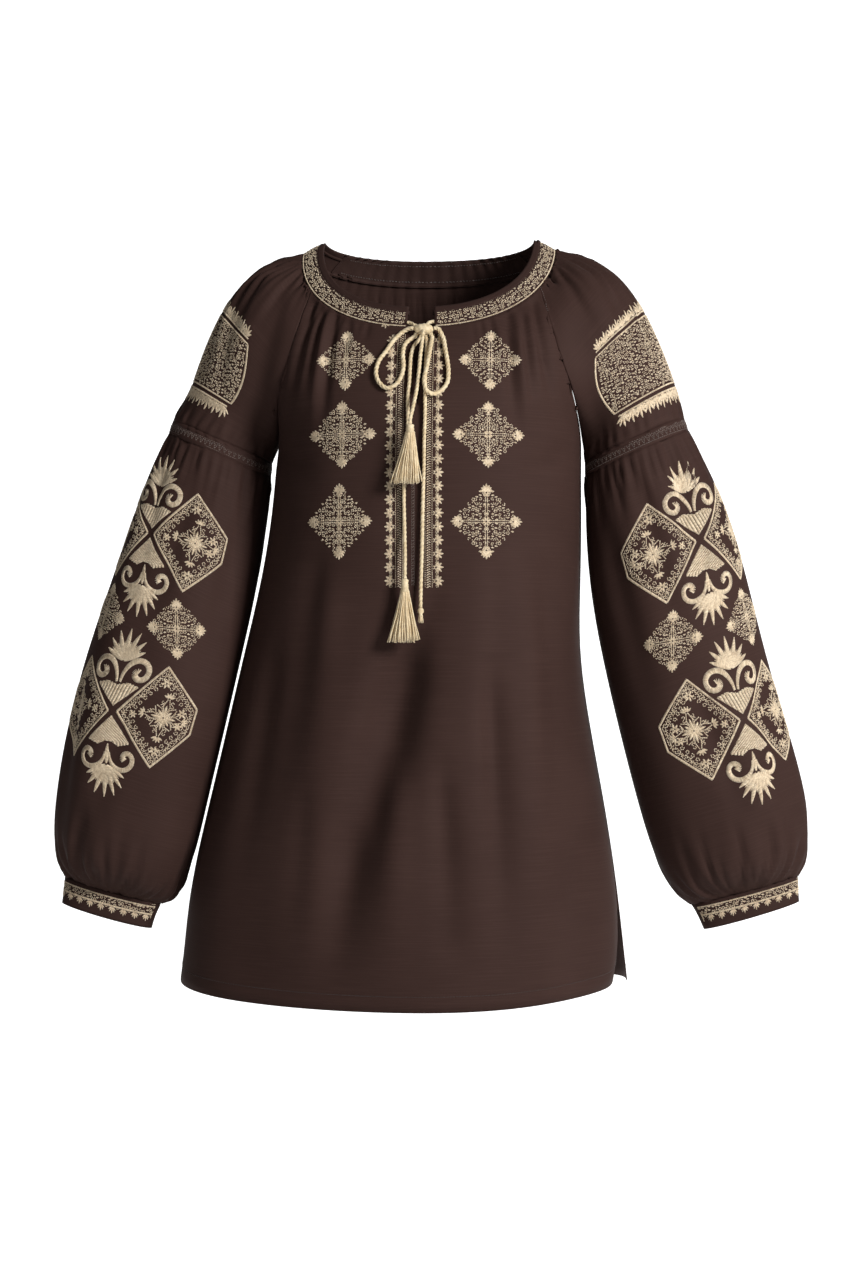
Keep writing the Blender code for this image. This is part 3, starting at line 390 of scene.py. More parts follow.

# %% [markdown]
# ## Thin shells for the panels
# The frame's panels are closed walls of big faces. A shell keeps only a wall's outer face, joins its
# triangles into quads and lets a Subdivision Surface round them. Creases are pressed in afterwards,
# and a Solidify modifier gives the cloth its thickness again, towards the inside.

# %% Sleeve sections
# Down from the neck, then x and z of the outermost point, x and z of the middle, and y
SHOULDER_SECTIONS = (
    (0.040, 0.1720, -0.0210, 0.1530, -0.0425, -0.0015),
    (0.080, 0.2030, -0.0520, 0.1775, -0.0815, -0.0010),
    (0.120, 0.2270, -0.1000, 0.1915, -0.1280, -0.0010),
    (0.160, 0.2450, -0.1490, 0.1985, -0.1750, 0.0000),
)
TUBE_SECTIONS = {
    "left": (
        (0.188, -0.2600, -0.1740, -0.2100, -0.1955, -0.0010),
        (0.201, -0.2640, -0.1865, -0.2125, -0.2088, -0.0030),
        (0.252, -0.2847, -0.2313, -0.2246, -0.2597, -0.0120),
        (0.306, -0.2980, -0.2789, -0.2353, -0.3121, -0.0220),
        (0.367, -0.3189, -0.3441, -0.2520, -0.3735, -0.0300),
        (0.438, -0.3443, -0.4179, -0.2718, -0.4437, -0.0340),
        (0.506, -0.3612, -0.4847, -0.2884, -0.5103, -0.0350),
        (0.566, -0.3716, -0.5447, -0.3001, -0.5691, -0.0340),
        (0.610, -0.3752, -0.5917, -0.3085, -0.6117, -0.0320),
        (0.646, -0.3645, -0.6308, -0.3154, -0.6439, -0.0300),
        (0.672, -0.3673, -0.6567, -0.3218, -0.6692, -0.0310),
    ),
    "right": (
        (0.188, 0.2520, -0.1755, 0.2025, -0.1973, 0.0000),
        (0.201, 0.2560, -0.1880, 0.2046, -0.2106, -0.0020),
        (0.252, 0.2797, -0.2341, 0.2170, -0.2615, -0.0060),
        (0.306, 0.2990, -0.2818, 0.2285, -0.3137, -0.0100),
        (0.367, 0.3153, -0.3449, 0.2419, -0.3739, -0.0140),
        (0.438, 0.3326, -0.4175, 0.2579, -0.4432, -0.0170),
        (0.506, 0.3529, -0.4831, 0.2764, -0.5089, -0.0190),
        (0.566, 0.3702, -0.5416, 0.2929, -0.5666, -0.0200),
        (0.610, 0.3731, -0.5876, 0.3031, -0.6087, -0.0200),
        (0.646, 0.3615, -0.6253, 0.3095, -0.6397, -0.0200),
        (0.672, 0.3628, -0.6501, 0.3162, -0.6643, -0.0210),
    ),
}
BAND_MIDDLE = 0.1945
CUFF_SEAM = 0.646
SECTION_STEP = 0.004


class Sleeve:
    """Sections down a sleeve: for each, its middle and the directions outward, forward and down."""

    def __init__(self, word, side):
        top = [(d, side * ox, oz, side * mx, mz, y) for d, ox, oz, mx, mz, y in SHOULDER_SECTIONS]
        sections = top + list(TUBE_SECTIONS[word])
        rows = smooth_line([(mx, y, mz, ox, oz, d) for d, ox, oz, mx, mz, y in sections], SECTION_STEP)
        self.middle, self.down = rows[:, :3], rows[:, 5]
        outer = np.column_stack((rows[:, 3], rows[:, 1], rows[:, 4]))
        self.outward = (outer - self.middle) / np.linalg.norm(outer - self.middle, axis=1)[:, None]
        self.forward = np.tile((0.0, -1.0, 0.0), (len(rows), 1))
        self.along = np.cross(self.outward, self.forward)
        self.along *= -np.sign(self.along[:, 2:])

    def measure(self, places):
        """Distance down and angle from outward towards the front, for each place."""
        off = places[:, None, :] - self.middle[None]
        level = np.abs((off * self.along[None]).sum(2)) + 0.15 * np.linalg.norm(off, axis=2)
        near = level.argmin(1)
        radial = places - self.middle[near]
        angle = np.arctan2((radial * self.forward[near]).sum(1), (radial * self.outward[near]).sum(1))
        return self.down[near] + (radial * self.along[near]).sum(1), angle

    def inside(self, place):
        return Vector(self.middle[((self.middle - np.array(place)) ** 2).sum(1).argmin()])

    def upright(self):
        """The same middles with sections square to the straight line from band to cuff."""
        other = copy.copy(self)
        start, end = np.searchsorted(self.down, (BAND_MIDDLE, CUFF_SEAM))
        line = self.middle[end] - self.middle[start]
        square = np.array((-line[2], 0.0, line[0])) * np.sign(self.outward[end, 0])
        other.outward = np.tile(square / np.linalg.norm(square), (len(self.down), 1))
        return other


sleeves = {"left": Sleeve("left", -1), "right": Sleeve("right", 1)}
for word, sleeve in sleeves.items():
    print(word, "sleeve:", len(sleeve.down), "sections,", round(sleeve.down[-1], 3), "m down")

# %% Taking a wall's outer face
MERGE = 0.00001
WALL_REACH = 0.0042
FLAT_ENOUGH = math.radians(70.0)
ROUNDING_LEVELS = 2
SLEEVE_PARTS = ("upper_sleeve", "sleeve_insertion", "lower_sleeve", "cuff")
TORSO_PARTS = ("front", "back", "neck_casing_back", "neckband_left", "neckband_right", "neck_binding_left",
               "neck_binding_right")


def outer_sheet(node, inside):
    """The outer face of a node's wall as an open sheet of quads. Inside gives a point within, for a place."""
    mesh = bmesh.new()
    mesh.from_mesh(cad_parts[node].data)
    bmesh.ops.remove_doubles(mesh, verts=mesh.verts, dist=MERGE)
    tree = BVHTree.FromBMesh(mesh)
    unwanted = []
    for face in mesh.faces:
        centre = face.calc_center_median()
        outward = face.normal.dot(centre - inside(centre)) > 0.0
        hit = tree.ray_cast(centre - face.normal * MERGE, -face.normal, WALL_REACH)
        if not outward or hit[0] is None:
            unwanted.append(face)
    bmesh.ops.delete(mesh, geom=unwanted, context="FACES")
    bmesh.ops.join_triangles(mesh, faces=mesh.faces, angle_face_threshold=FLAT_ENOUGH,
                             angle_shape_threshold=FLAT_ENOUGH)
    return mesh


def rounded(mesh, name):
    """The sheet with a Subdivision Surface applied."""
    item = bpy.data.objects.new(name, finished_mesh(mesh, name))
    bpy.context.scene.collection.objects.link(item)
    modifier = item.modifiers.new("round", "SUBSURF")
    modifier.levels = modifier.render_levels = ROUNDING_LEVELS
    modifier.boundary_smooth = "PRESERVE_CORNERS"
    return evaluated_mesh(item)


def inside_torso(place):
    return Vector((0.0, 0.0, place.z - 0.05))


sheets = {node: rounded(outer_sheet(node, inside_torso), node) for node in TORSO_PARTS}
for word, sleeve in sleeves.items():
    for part in SLEEVE_PARTS:
        node = f"{part}_{word}"
        sheets[node] = rounded(outer_sheet(node, sleeve.inside), node)
for name, data in sheets.items():
    odd = sum(1 for polygon in data.polygons if len(polygon.vertices) != 4)
    print(name, len(data.polygons), "faces, of which", odd, "not quads")

# %% [markdown]
# ### Seam allowances
# Where two pieces of cloth meet, each runs on behind the other for a few millimetres. Without that, light
# would show through the seam.

# %% Seam allowances
SEAM_REACH = 0.0030
ALLOWANCE = 0.0016
ALLOWANCE_DEPTH = 0.0026


def tree_of(meshes):
    """One search tree over several meshes."""
    places, faces = [], []
    for data in meshes:
        start = len(places)
        places += [vert.co.copy() for vert in data.vertices]
        faces += [[start + v for v in polygon.vertices] for polygon in data.polygons]
    return BVHTree.FromPolygons(places, faces)


def add_allowance(name):
    """Grows a sheet's edges behind the sheets that they meet, and counts those edges."""
    others = tree_of([sheets[other] for other in sheets if other != name])
    mesh = bmesh.new()
    mesh.from_mesh(sheets[name])
    mesh.normal_update()
    meeting = [edge for edge in mesh.edges if edge.is_boundary
               and all(others.find_nearest(vert.co, SEAM_REACH)[0] is not None for vert in edge.verts)]
    moves = {}
    for edge in meeting:
        away = (edge.verts[0].co + edge.verts[1].co) / 2 - edge.link_faces[0].calc_center_median()
        line = (edge.verts[1].co - edge.verts[0].co).normalized()
        away = (away - line * away.dot(line)).normalized()
        for vert in edge.verts:
            moves.setdefault(tuple(vert.co), []).append(away * ALLOWANCE - vert.normal * ALLOWANCE_DEPTH)
    grown = bmesh.ops.extrude_edge_only(mesh, edges=meeting)["geom"]
    for vert in grown:
        if isinstance(vert, bmesh.types.BMVert):
            steps = moves[tuple(vert.co)]
            vert.co += sum(steps, Vector()) / len(steps)
    return finished_mesh(mesh, name), len(meeting)


grown_sheets = {}
for name in sheets:
    grown_sheets[name], count = add_allowance(name)
    print(name, count, "edges grown")

# %% [markdown]
# ### The neck's ring
# The neckband and its binding lie on a ring round the neck, wide at the shoulders and lower in front than
# behind. The frame's solids were worked out from the same ring, so a place on the band is found from an angle
# alone.

# %% The neck ring
# Half width, front y, back y, side z, front z, back z and roundness of the ring's two edges
NECK_INNER = (0.1050, -0.0920, 0.0700, 0.0050, -0.0755, -0.0045, 0.88)
NECK_OUTER = (0.1265, -0.1030, 0.0785, -0.0050, -0.0966, -0.0290, 0.92)
NECK_X = -0.002
BAND_START_DEG, BAND_END_DEG = 5.0, 125.0
BAND_TOP_SHARE = 0.28


def neck_edge(edge, degrees):
    """A point on an edge of the neck ring, 0 degrees at the front and 90 at the right shoulder."""
    half_width, front_y, back_y, side_z, front_z, back_z, power = edge
    across, ahead = math.sin(math.radians(degrees)), math.cos(math.radians(degrees))
    across, ahead = math.copysign(abs(across) ** power, across), math.copysign(abs(ahead) ** power, ahead)
    end_y, end_z = (front_y, front_z) if ahead > 0 else (back_y, back_z)
    height = side_z + (end_z - side_z) * abs(ahead)
    return np.array((NECK_X + half_width * across, end_y * abs(ahead), height))


print("neck ring:", [round(v, 3) for v in neck_edge(NECK_OUTER, 90.0)], "at the right shoulder")

# %% [markdown]
# ### Creases
# A crease is a soft trough along a line on the cloth: deep in the middle, fading at both ends and to the
# sides. Gathers are many short uneven troughs that start at a seam. Working on flat cloth coordinates, across
# and along, keeps them straight on a round sleeve.

# %% Cloth coordinates and creases
SLEEVE_RADIUS = 0.062
LAPS = 2 * math.pi * SLEEVE_RADIUS
NECK_RADIUS = 0.115


def torso_coordinates(places):
    return np.column_stack((places[:, 0], places[:, 2]))


def neck_coordinates(places):
    angle = np.arctan2(places[:, 0], -places[:, 1])
    return np.column_stack((angle * NECK_RADIUS, np.hypot(places[:, 0], places[:, 1])))


def sleeve_coordinates(sleeve):
    def measured(places):
        down, angle = sleeve.measure(places)
        return np.column_stack((angle * SLEEVE_RADIUS, down))
    return measured


def soft_step(value):
    value = np.clip(value, 0.0, 1.0)
    return value * value * (3 - 2 * value)


def press(places, normals, coordinates, creases, wrap=None):
    """Moves places in along their normals, by rows of a crease table."""
    depth = np.zeros(len(places))
    for u0, v0, u1, v1, deep, width, start in creases:
        along_u, along_v = u1 - u0, v1 - v0
        off_u, off_v = coordinates[:, 0] - u0, coordinates[:, 1] - v0
        if wrap:
            off_u = (off_u + wrap / 2) % wrap - wrap / 2
        share = (off_u * along_u + off_v * along_v) / (along_u**2 + along_v**2)
        near = np.clip(share, 0.0, 1.0)
        apart = np.hypot(off_u - along_u * near, off_v - along_v * near)
        strength = (start + (1 - start) * soft_step(share / 0.2)) * (1 - soft_step((share - 0.35) / 0.65))
        widened = width * (0.75 + 0.6 * near)
        depth += deep * strength * np.exp(-((apart / widened) ** 2))
    return places - normals * depth[:, None]


def gathers(count, u_start, u_end, v, reach, depth, width, seed):
    """Uneven short troughs from a seam at v, with smaller ridges between them, as rows for press."""
    random = np.random.default_rng(seed)
    rows = []
    for i in range(count):
        for shift, sign, size in ((0.5, 1.0, 1.0), (1.0, -0.8, 0.8)):
            u = u_start + (u_end - u_start) * (i + shift + random.uniform(-0.22, 0.22)) / count
            length = reach * random.uniform(0.35, 1.0) * size
            lean = random.uniform(-0.12, 0.12) * abs(length)
            rows.append((u, v, u + lean, v + length, sign * depth * random.uniform(0.35, 1.0),
                         width * random.uniform(0.75, 1.2), 0.35))
    return rows


def fan_gathers(count, degrees, side, reach, depth, width, seed):
    """Troughs that radiate from the neckband, between two angles round the neck, for the flat torso."""
    random = np.random.default_rng(seed)
    rows = []
    for i in range(count):
        angle = degrees[0] + (degrees[1] - degrees[0]) * (i + random.uniform(0.2, 0.8)) / count
        edge = neck_edge(NECK_OUTER, side * angle)
        x, z = edge[0], edge[2]
        length = reach * random.uniform(0.35, 1.0)
        aim = math.radians(angle * 0.55)
        rows.append((x, z, x + side * length * math.sin(aim), z - length * math.cos(aim),
                     depth * random.uniform(0.4, 1.0), width * random.uniform(0.8, 1.2), 0.4))
    return rows


# %% [markdown]
# The main creases of the front follow the photograph: one long trough slants from the middle of the chest to
# the left of the hem, and softer ones fall from the bust and beside the vents. The back is not seen, so it
# gets similar ones. A row holds where a crease starts, across and up, where it ends, its depth, its width and
# its strength at the start. A depth below nothing makes a ridge.

# %% Crease tables
FRONT_CREASES = [
    (0.022, -0.330, -0.022, -0.440, 0.0030, 0.012, 0.0),
    (-0.002, -0.375, -0.076, -0.660, 0.0205, 0.024, 0.0),
    (-0.022, -0.500, -0.030, -0.745, -0.0075, 0.018, 0.0),
    (-0.062, -0.560, -0.086, -0.745, 0.0088, 0.018, 0.0),
    (0.068, -0.290, 0.084, -0.600, 0.0022, 0.014, 0.0),
    (0.116, -0.300, 0.130, -0.690, 0.0052, 0.014, 0.0),
    (-0.098, -0.290, -0.116, -0.580, 0.0032, 0.016, 0.0),
    (-0.140, -0.380, -0.190, -0.700, 0.0052, 0.015, 0.0),
    (-0.108, -0.520, -0.128, -0.740, 0.0030, 0.013, 0.0),
    (0.020, -0.500, 0.034, -0.745, 0.0056, 0.013, 0.0),
    (0.066, -0.400, 0.082, -0.735, 0.0085, 0.013, 0.0),
    (0.146, -0.205, 0.078, -0.258, 0.0030, 0.010, 0.2),
    (-0.150, -0.205, -0.088, -0.252, 0.0032, 0.011, 0.2),
    (0.150, -0.560, 0.152, -0.730, 0.0024, 0.010, 0.0),
    (-0.020, -0.516, 0.040, -0.520, 0.0007, 0.0022, 0.0),
    (0.108, -0.340, 0.116, -0.720, -0.0050, 0.018, 0.0),
    (-0.084, -0.310, -0.118, -0.640, -0.0048, 0.018, 0.0),
    (0.080, -0.082, 0.092, -0.230, 0.0050, 0.0052, 0.6),
    (0.0955, -0.084, 0.106, -0.180, 0.0034, 0.0032, 0.6),
    (0.104, -0.070, 0.130, -0.200, 0.0048, 0.0050, 0.6),
    (0.090, -0.084, 0.102, -0.215, -0.0028, 0.0036, 0.5),
    (0.101, -0.074, 0.116, -0.170, -0.0024, 0.0034, 0.5),
    (-0.086, -0.082, -0.098, -0.215, 0.0048, 0.0052, 0.6),
    (-0.100, -0.078, -0.114, -0.170, 0.0036, 0.0034, 0.6),
    (-0.110, -0.068, -0.136, -0.200, 0.0044, 0.0048, 0.6),
    (-0.094, -0.080, -0.108, -0.200, -0.0026, 0.0036, 0.5),
    (0.066, -0.094, 0.072, -0.150, 0.0022, 0.0034, 0.5),
    (-0.070, -0.094, -0.078, -0.145, 0.0022, 0.0034, 0.5),
]
BACK_CREASES = [
    (-0.020, -0.240, -0.040, -0.560, 0.0040, 0.016, 0.0),
    (0.045, -0.280, 0.060, -0.660, 0.0046, 0.018, 0.0),
    (-0.095, -0.300, -0.125, -0.720, 0.0044, 0.018, 0.0),
    (0.110, -0.340, 0.135, -0.720, 0.0038, 0.016, 0.0),
    (0.000, -0.500, -0.006, -0.740, 0.0030, 0.015, 0.0),
    (-0.160, -0.430, -0.190, -0.720, 0.0034, 0.014, 0.0),
    (0.140, -0.190, 0.075, -0.250, 0.0030, 0.012, 0.2),
    (-0.140, -0.190, -0.078, -0.248, 0.0030, 0.012, 0.2),
]
SLEEVE_CREASES = {
    "left": [
        (0.042, 0.215, 0.060, 0.400, 0.0042, 0.011, 0.3),
        (0.090, 0.220, 0.080, 0.460, 0.0036, 0.013, 0.3),
        (0.020, 0.430, 0.040, 0.640, 0.0036, 0.012, 0.0),
        (0.092, 0.440, 0.070, 0.640, 0.0044, 0.013, 0.0),
        (-0.020, 0.480, -0.006, 0.642, 0.0036, 0.012, 0.0),
        (-0.080, 0.240, -0.070, 0.460, 0.0034, 0.014, 0.2),
        (-0.110, 0.400, -0.090, 0.640, 0.0036, 0.013, 0.0),
        (0.150, 0.230, 0.140, 0.500, 0.0034, 0.014, 0.2),
        (0.066, 0.560, 0.058, 0.645, 0.0034, 0.009, 0.0),
        (-0.150, 0.300, -0.160, 0.600, 0.0030, 0.014, 0.0),
    ],
    "right": [
        (0.056, 0.215, 0.074, 0.390, 0.0042, 0.011, 0.3),
        (0.106, 0.220, 0.094, 0.440, 0.0040, 0.012, 0.3),
        (0.030, 0.430, 0.050, 0.640, 0.0038, 0.012, 0.0),
        (0.098, 0.430, 0.076, 0.640, 0.0042, 0.012, 0.0),
        (-0.015, 0.470, -0.004, 0.642, 0.0036, 0.012, 0.0),
        (-0.075, 0.260, -0.060, 0.470, 0.0034, 0.014, 0.2),
        (-0.115, 0.420, -0.095, 0.640, 0.0036, 0.013, 0.0),
        (0.150, 0.240, 0.132, 0.520, 0.0036, 0.013, 0.2),
        (0.072, 0.570, 0.062, 0.645, 0.0034, 0.009, 0.0),
        (-0.155, 0.260, -0.150, 0.560, 0.0030, 0.014, 0.0),
    ],
}
UPPER_CREASES = [
    (0.030, 0.020, 0.060, 0.150, 0.0044, 0.007, 0.4),
    (0.052, 0.016, 0.078, 0.120, 0.0042, 0.006, 0.5),
    (0.070, 0.012, 0.096, 0.110, 0.0040, 0.005, 0.5),
    (0.041, 0.018, 0.068, 0.130, -0.0026, 0.006, 0.4),
    (0.080, 0.060, 0.086, 0.170, 0.0030, 0.009, 0.2),
    (-0.040, 0.020, -0.066, 0.140, 0.0030, 0.009, 0.3),
]
print("creases:", len(FRONT_CREASES), "in front,", len(BACK_CREASES), "behind")

# %% Finishing a shell
SHELL = 0.0010
BAND_SHELL = 0.0018


def shell_piece(node, coordinates_of, creases, material, slot, thickness=SHELL, wrap=None):
    """Presses creases into a sheet, gives it cloth coordinates and a thickness, and adds it."""
    data = grown_sheets[node]
    data.name = "shell_" + node
    places, normals = np.zeros((len(data.vertices), 3)), np.zeros((len(data.vertices), 3))
    data.vertices.foreach_get("co", places.ravel())
    data.vertices.foreach_get("normal", normals.ravel())
    coordinates = coordinates_of(places)
    places = press(places, normals, coordinates, creases, wrap)
    data.vertices.foreach_set("co", places.ravel())
    layer = data.uv_layers.new(name="cloth")
    corners = np.zeros(len(data.loops), dtype=int)
    data.loops.foreach_get("vertex_index", corners)
    flat = coordinates[corners]
    if wrap:
        for polygon in data.polygons:
            loops = list(polygon.loop_indices)
            if np.ptp(flat[loops, 0]) > wrap / 2:
                flat[loops, 0] += np.where(flat[loops, 0] < 0, wrap, 0.0)
    layer.data.foreach_set("uv", flat.ravel())
    data.update()
    piece = add_piece("shell_" + node, data, material, slot, node)
    solid = piece.modifiers.new("thickness", "SOLIDIFY")
    solid.thickness = thickness
    solid.offset = -1.0
    return piece


front_gathers = [row for side, seed in ((-1, 31), (1, 37))
                 for row in fan_gathers(9, (18.0, 60.0), side, 0.060, 0.0020, 0.0036, seed)]
back_gathers = gathers(30, -0.084, 0.084, -0.040, -0.075, 0.0016, 0.0022, 3)
shells = {"front": shell_piece("front", torso_coordinates, FRONT_CREASES + front_gathers, CLOTH, "cloth"),
          "back": shell_piece("back", torso_coordinates, BACK_CREASES + back_gathers, CLOTH, "cloth"),
          "neck_casing_back": shell_piece("neck_casing_back", neck_coordinates, [], BINDING, "binding")}
for word, seed in (("left", 11), ("right", 23)):
    coordinates_of = sleeve_coordinates(sleeves[word])
    top = gathers(34, -LAPS / 2, LAPS / 2, 0.203, 0.080, 0.0030, 0.0036, seed)
    foot = gathers(34, -LAPS / 2, LAPS / 2, 0.644, -0.095, 0.0038, 0.0036, seed + 1)
    neck = gathers(20, -0.120, 0.120, 0.004, 0.105, 0.0028, 0.0036, seed + 2)
    low = gathers(26, -LAPS / 2, LAPS / 2, 0.187, -0.045, 0.0018, 0.0034, seed + 3)
    for part, creases, finish, slot in (
            ("upper_sleeve", UPPER_CREASES + neck + low, CLOTH, "cloth"),
            ("sleeve_insertion", [], CLOTH, "insertion"),
            ("lower_sleeve", SLEEVE_CREASES[word] + top + foot, CLOTH, "cloth"),
            ("cuff", [], BINDING, "band")):
        name = f"{part}_{word}"
        shells[name] = shell_piece(name, coordinates_of, creases, finish, slot, SHELL, LAPS)
    for part, slot in (("neckband", "band"), ("neck_binding", "binding")):
        name = f"{part}_{word}"
        shells[name] = shell_piece(name, neck_coordinates, [], BINDING, slot, BAND_SHELL)
print("shells:", len(shells))

# %% [markdown]
# ## Patterns on round cloth
# Embroidery is planned flat. A chart says where a flat place, in metres across and up, lies on the cloth and
# which way the cloth faces there. It is found by casting rays: straight back for the torso, and out from the
# middle line for a sleeve, where across is then measured as real length round it.

# %% Charts
CHART_STEP = 0.002
MOTIF_AXIS_MM = 46.0
TORSO_RAY_START = 0.6
SLEEVE_RAY_REACH = 0.13
SLEEVE_RAY_ANGLES = np.radians(np.arange(-172.0, 172.1, 2.5))
FEWEST_HITS = 8


class Chart:
    """A grid of places on cloth over even steps across (u) and up (v)."""

    def __init__(self, us, vs, places, outward):
        self.us, self.vs, self.places = us, vs, places
        du, dv = np.gradient(places, axis=1), np.gradient(places, axis=0)
        normals = np.cross(du, dv)
        normals /= np.maximum(np.linalg.norm(normals, axis=2), 1e-12)[..., None]
        self.normals = normals * np.sign((normals * outward).sum(2))[..., None]

    def at(self, flat):
        """Places and directions for an array of flat places."""
        found = []
        for axis, steps in ((0, self.us), (1, self.vs)):
            value = np.clip((flat[:, axis] - steps[0]) / (steps[1] - steps[0]), 0.0, len(steps) - 1.001)
            found.append((value.astype(int), (value % 1.0)[:, None]))
        (i, s), (j, t) = found
        both = []
        for grid in (self.places, self.normals):
            lower = grid[j, i] * (1 - s) + grid[j, i + 1] * s
            upper = grid[j + 1, i] * (1 - s) + grid[j + 1, i + 1] * s
            both.append(lower * (1 - t) + upper * t)
        return both[0], both[1] / np.linalg.norm(both[1], axis=1)[:, None]


def shell_tree(*names):
    """A search tree over some shells, as they are before their thickness."""
    return tree_of([shells[name].data for name in names])


def fill_gaps(line):
    """Fills the misses in a row of places from their neighbours."""
    known = [i for i, place in enumerate(line) if place is not None]
    return looked_up(range(len(line)), known, np.array([line[i] for i in known]))


def torso_chart(name, u_range, v_range, facing):
    """A chart by rays along Y. Facing is -1 for the front and 1 for the back."""
    tree = shell_tree(name)
    us = np.arange(u_range[0], u_range[1] + CHART_STEP / 2, CHART_STEP)
    vs = np.arange(v_range[0], v_range[1] + CHART_STEP / 2, CHART_STEP)
    rows, back = [], Vector((0.0, -facing, 0.0))
    for v in vs:
        row = [tree.ray_cast(Vector((u, facing * TORSO_RAY_START, v)), back)[0] for u in us]
        rows.append(fill_gaps([None if hit is None else np.array(hit) for hit in row]))
    return Chart(us, vs, np.array(rows), np.array((0.0, facing, 0.0)))


def sleeve_ring(tree, sleeve, down):
    """A sleeve's middle at a distance down, and the places that rays from it find all round."""
    lines = (sleeve.middle, sleeve.outward, sleeve.forward)
    middle, outward, forward = [looked_up(down, sleeve.down, line) for line in lines]
    hits = []
    for angle in SLEEVE_RAY_ANGLES:
        direction = outward * math.cos(angle) + forward * math.sin(angle)
        hit = tree.ray_cast(Vector(middle), Vector(direction), SLEEVE_RAY_REACH)[0]
        hits.append(None if hit is None else np.array(hit))
    return middle, hits


def sleeve_chart(word, u_reach, downs, upright=False):
    """A chart round a sleeve: u from the outermost line to the front, v up from the middle of the band."""
    sleeve = sleeves[word].upright() if upright else sleeves[word]
    tree = shell_tree(*[f"{part}_{word}" for part in SLEEVE_PARTS])
    us = np.arange(-u_reach, u_reach + CHART_STEP / 2, CHART_STEP)
    rows, facings, kept = [], [], []
    for down in downs:
        middle, hits = sleeve_ring(tree, sleeve, down)
        if sum(hit is not None for hit in hits) < FEWEST_HITS:
            continue
        ring = fill_gaps(hits)
        arcs = run_along(ring)
        arcs -= np.interp(0.0, SLEEVE_RAY_ANGLES, arcs)
        rows.append(looked_up(us, arcs, ring))
        facings.append(rows[-1] - middle)
        kept.append(down)
    rows, facings, downs = np.array(rows), np.array(facings), np.array(kept)
    run = run_along(rows[:, np.searchsorted(us, MOTIF_AXIS_MM * 0.001)])
    heights = np.interp(BAND_MIDDLE, downs, run) - run
    vs = np.arange(heights[-1], heights[0], CHART_STEP)
    even = [np.stack([looked_up(vs, heights[::-1], grid[::-1, c]) for c in range(len(us))], axis=1)
            for grid in (rows, facings)]
    return Chart(us, vs, *even)


charts = {"front": torso_chart("front", (-0.12, 0.12), (-0.350, -0.078), -1)}
for word in sleeves:
    charts["sleeve_" + word] = sleeve_chart(word, 0.20, np.arange(0.045, 0.6721, CHART_STEP))
    charts["tube_" + word] = sleeve_chart(word, 0.20, np.arange(0.150, 0.6421, CHART_STEP), True)
for name, chart in charts.items():
    print(name, "across", chart.us[[0, -1]].round(3), "and up", chart.vs[[0, -1]].round(3))

# %% The neckband's chart
BELOW_NECK = np.array((0.0, 0.0, -0.2))


def neckband_chart(word, side):
    """Across runs from the slit round to the back seam, and up from the band's lower edge."""
    tree = shell_tree("neckband_" + word)
    degrees = np.linspace(BAND_START_DEG, BAND_END_DEG, 90)
    shares = np.linspace(1.0, BAND_TOP_SHARE, 9)
    grid = np.zeros((len(shares), len(degrees), 3))
    facing = np.zeros_like(grid)
    for r, share in enumerate(shares):
        for c, angle in enumerate(degrees):
            inner, outer = neck_edge(NECK_INNER, side * angle), neck_edge(NECK_OUTER, side * angle)
            place = tree.find_nearest(Vector(inner + (outer - inner) * share))[0]
            grid[r, c], facing[r, c] = place, np.array(place) - BELOW_NECK
    arcs = run_along(grid[len(shares) // 2])
    us = np.linspace(0.0, arcs[-1], len(degrees))
    even = np.array([looked_up(us, arcs, row) for row in grid])
    height = float(np.linalg.norm(grid[-1] - grid[0], axis=1).mean())
    return Chart(us, np.linspace(0.0, height, len(shares)), even, facing)


for side, word in ((-1, "left"), (1, "right")):
    chart = neckband_chart(word, side)
    charts["neckband_" + word] = chart
    print("neckband", word, round(chart.us[-1], 4), "m long,", round(chart.vs[-1], 4), "m high")

# %% [markdown]
# ## Stitches
# Every stitch is a small ridge of floss between two flat places. Its shape comes from a cube whose top is
# pinched to an edge, and it is repeated for thousands of stitches at once, as one joined mesh. Patterns are
# arrays in millimetres: two ends, a width and a shade for each stitch.

# %% One stitch and many stitches
def stitch_shape():
    """Places and faces of one stitch: x along it, y across it and z up, all about one long."""
    mesh = bmesh.new()
    bmesh.ops.create_cube(mesh, size=1.0)
    for vert in mesh.verts:
        if vert.co.z > 0:
            vert.co = Vector((vert.co.x * 0.60, 0.0, 1.0))
        else:
            vert.co.z = -0.25
    bmesh.ops.remove_doubles(mesh, verts=mesh.verts, dist=0.01)
    bmesh.ops.recalc_face_normals(mesh, faces=mesh.faces)
    places = np.array([v.co for v in mesh.verts])
    faces = [[v.index for v in face.verts] for face in mesh.faces]
    mesh.free()
    return places, faces


STITCH_PLACES, STITCH_FACES = stitch_shape()
STITCH_HEIGHT = 0.00055
OPENWORK_HEIGHT = 0.0004
TOPSTITCH_HEIGHT = 0.00035
CASING_STITCH_HEIGHT = 0.0003


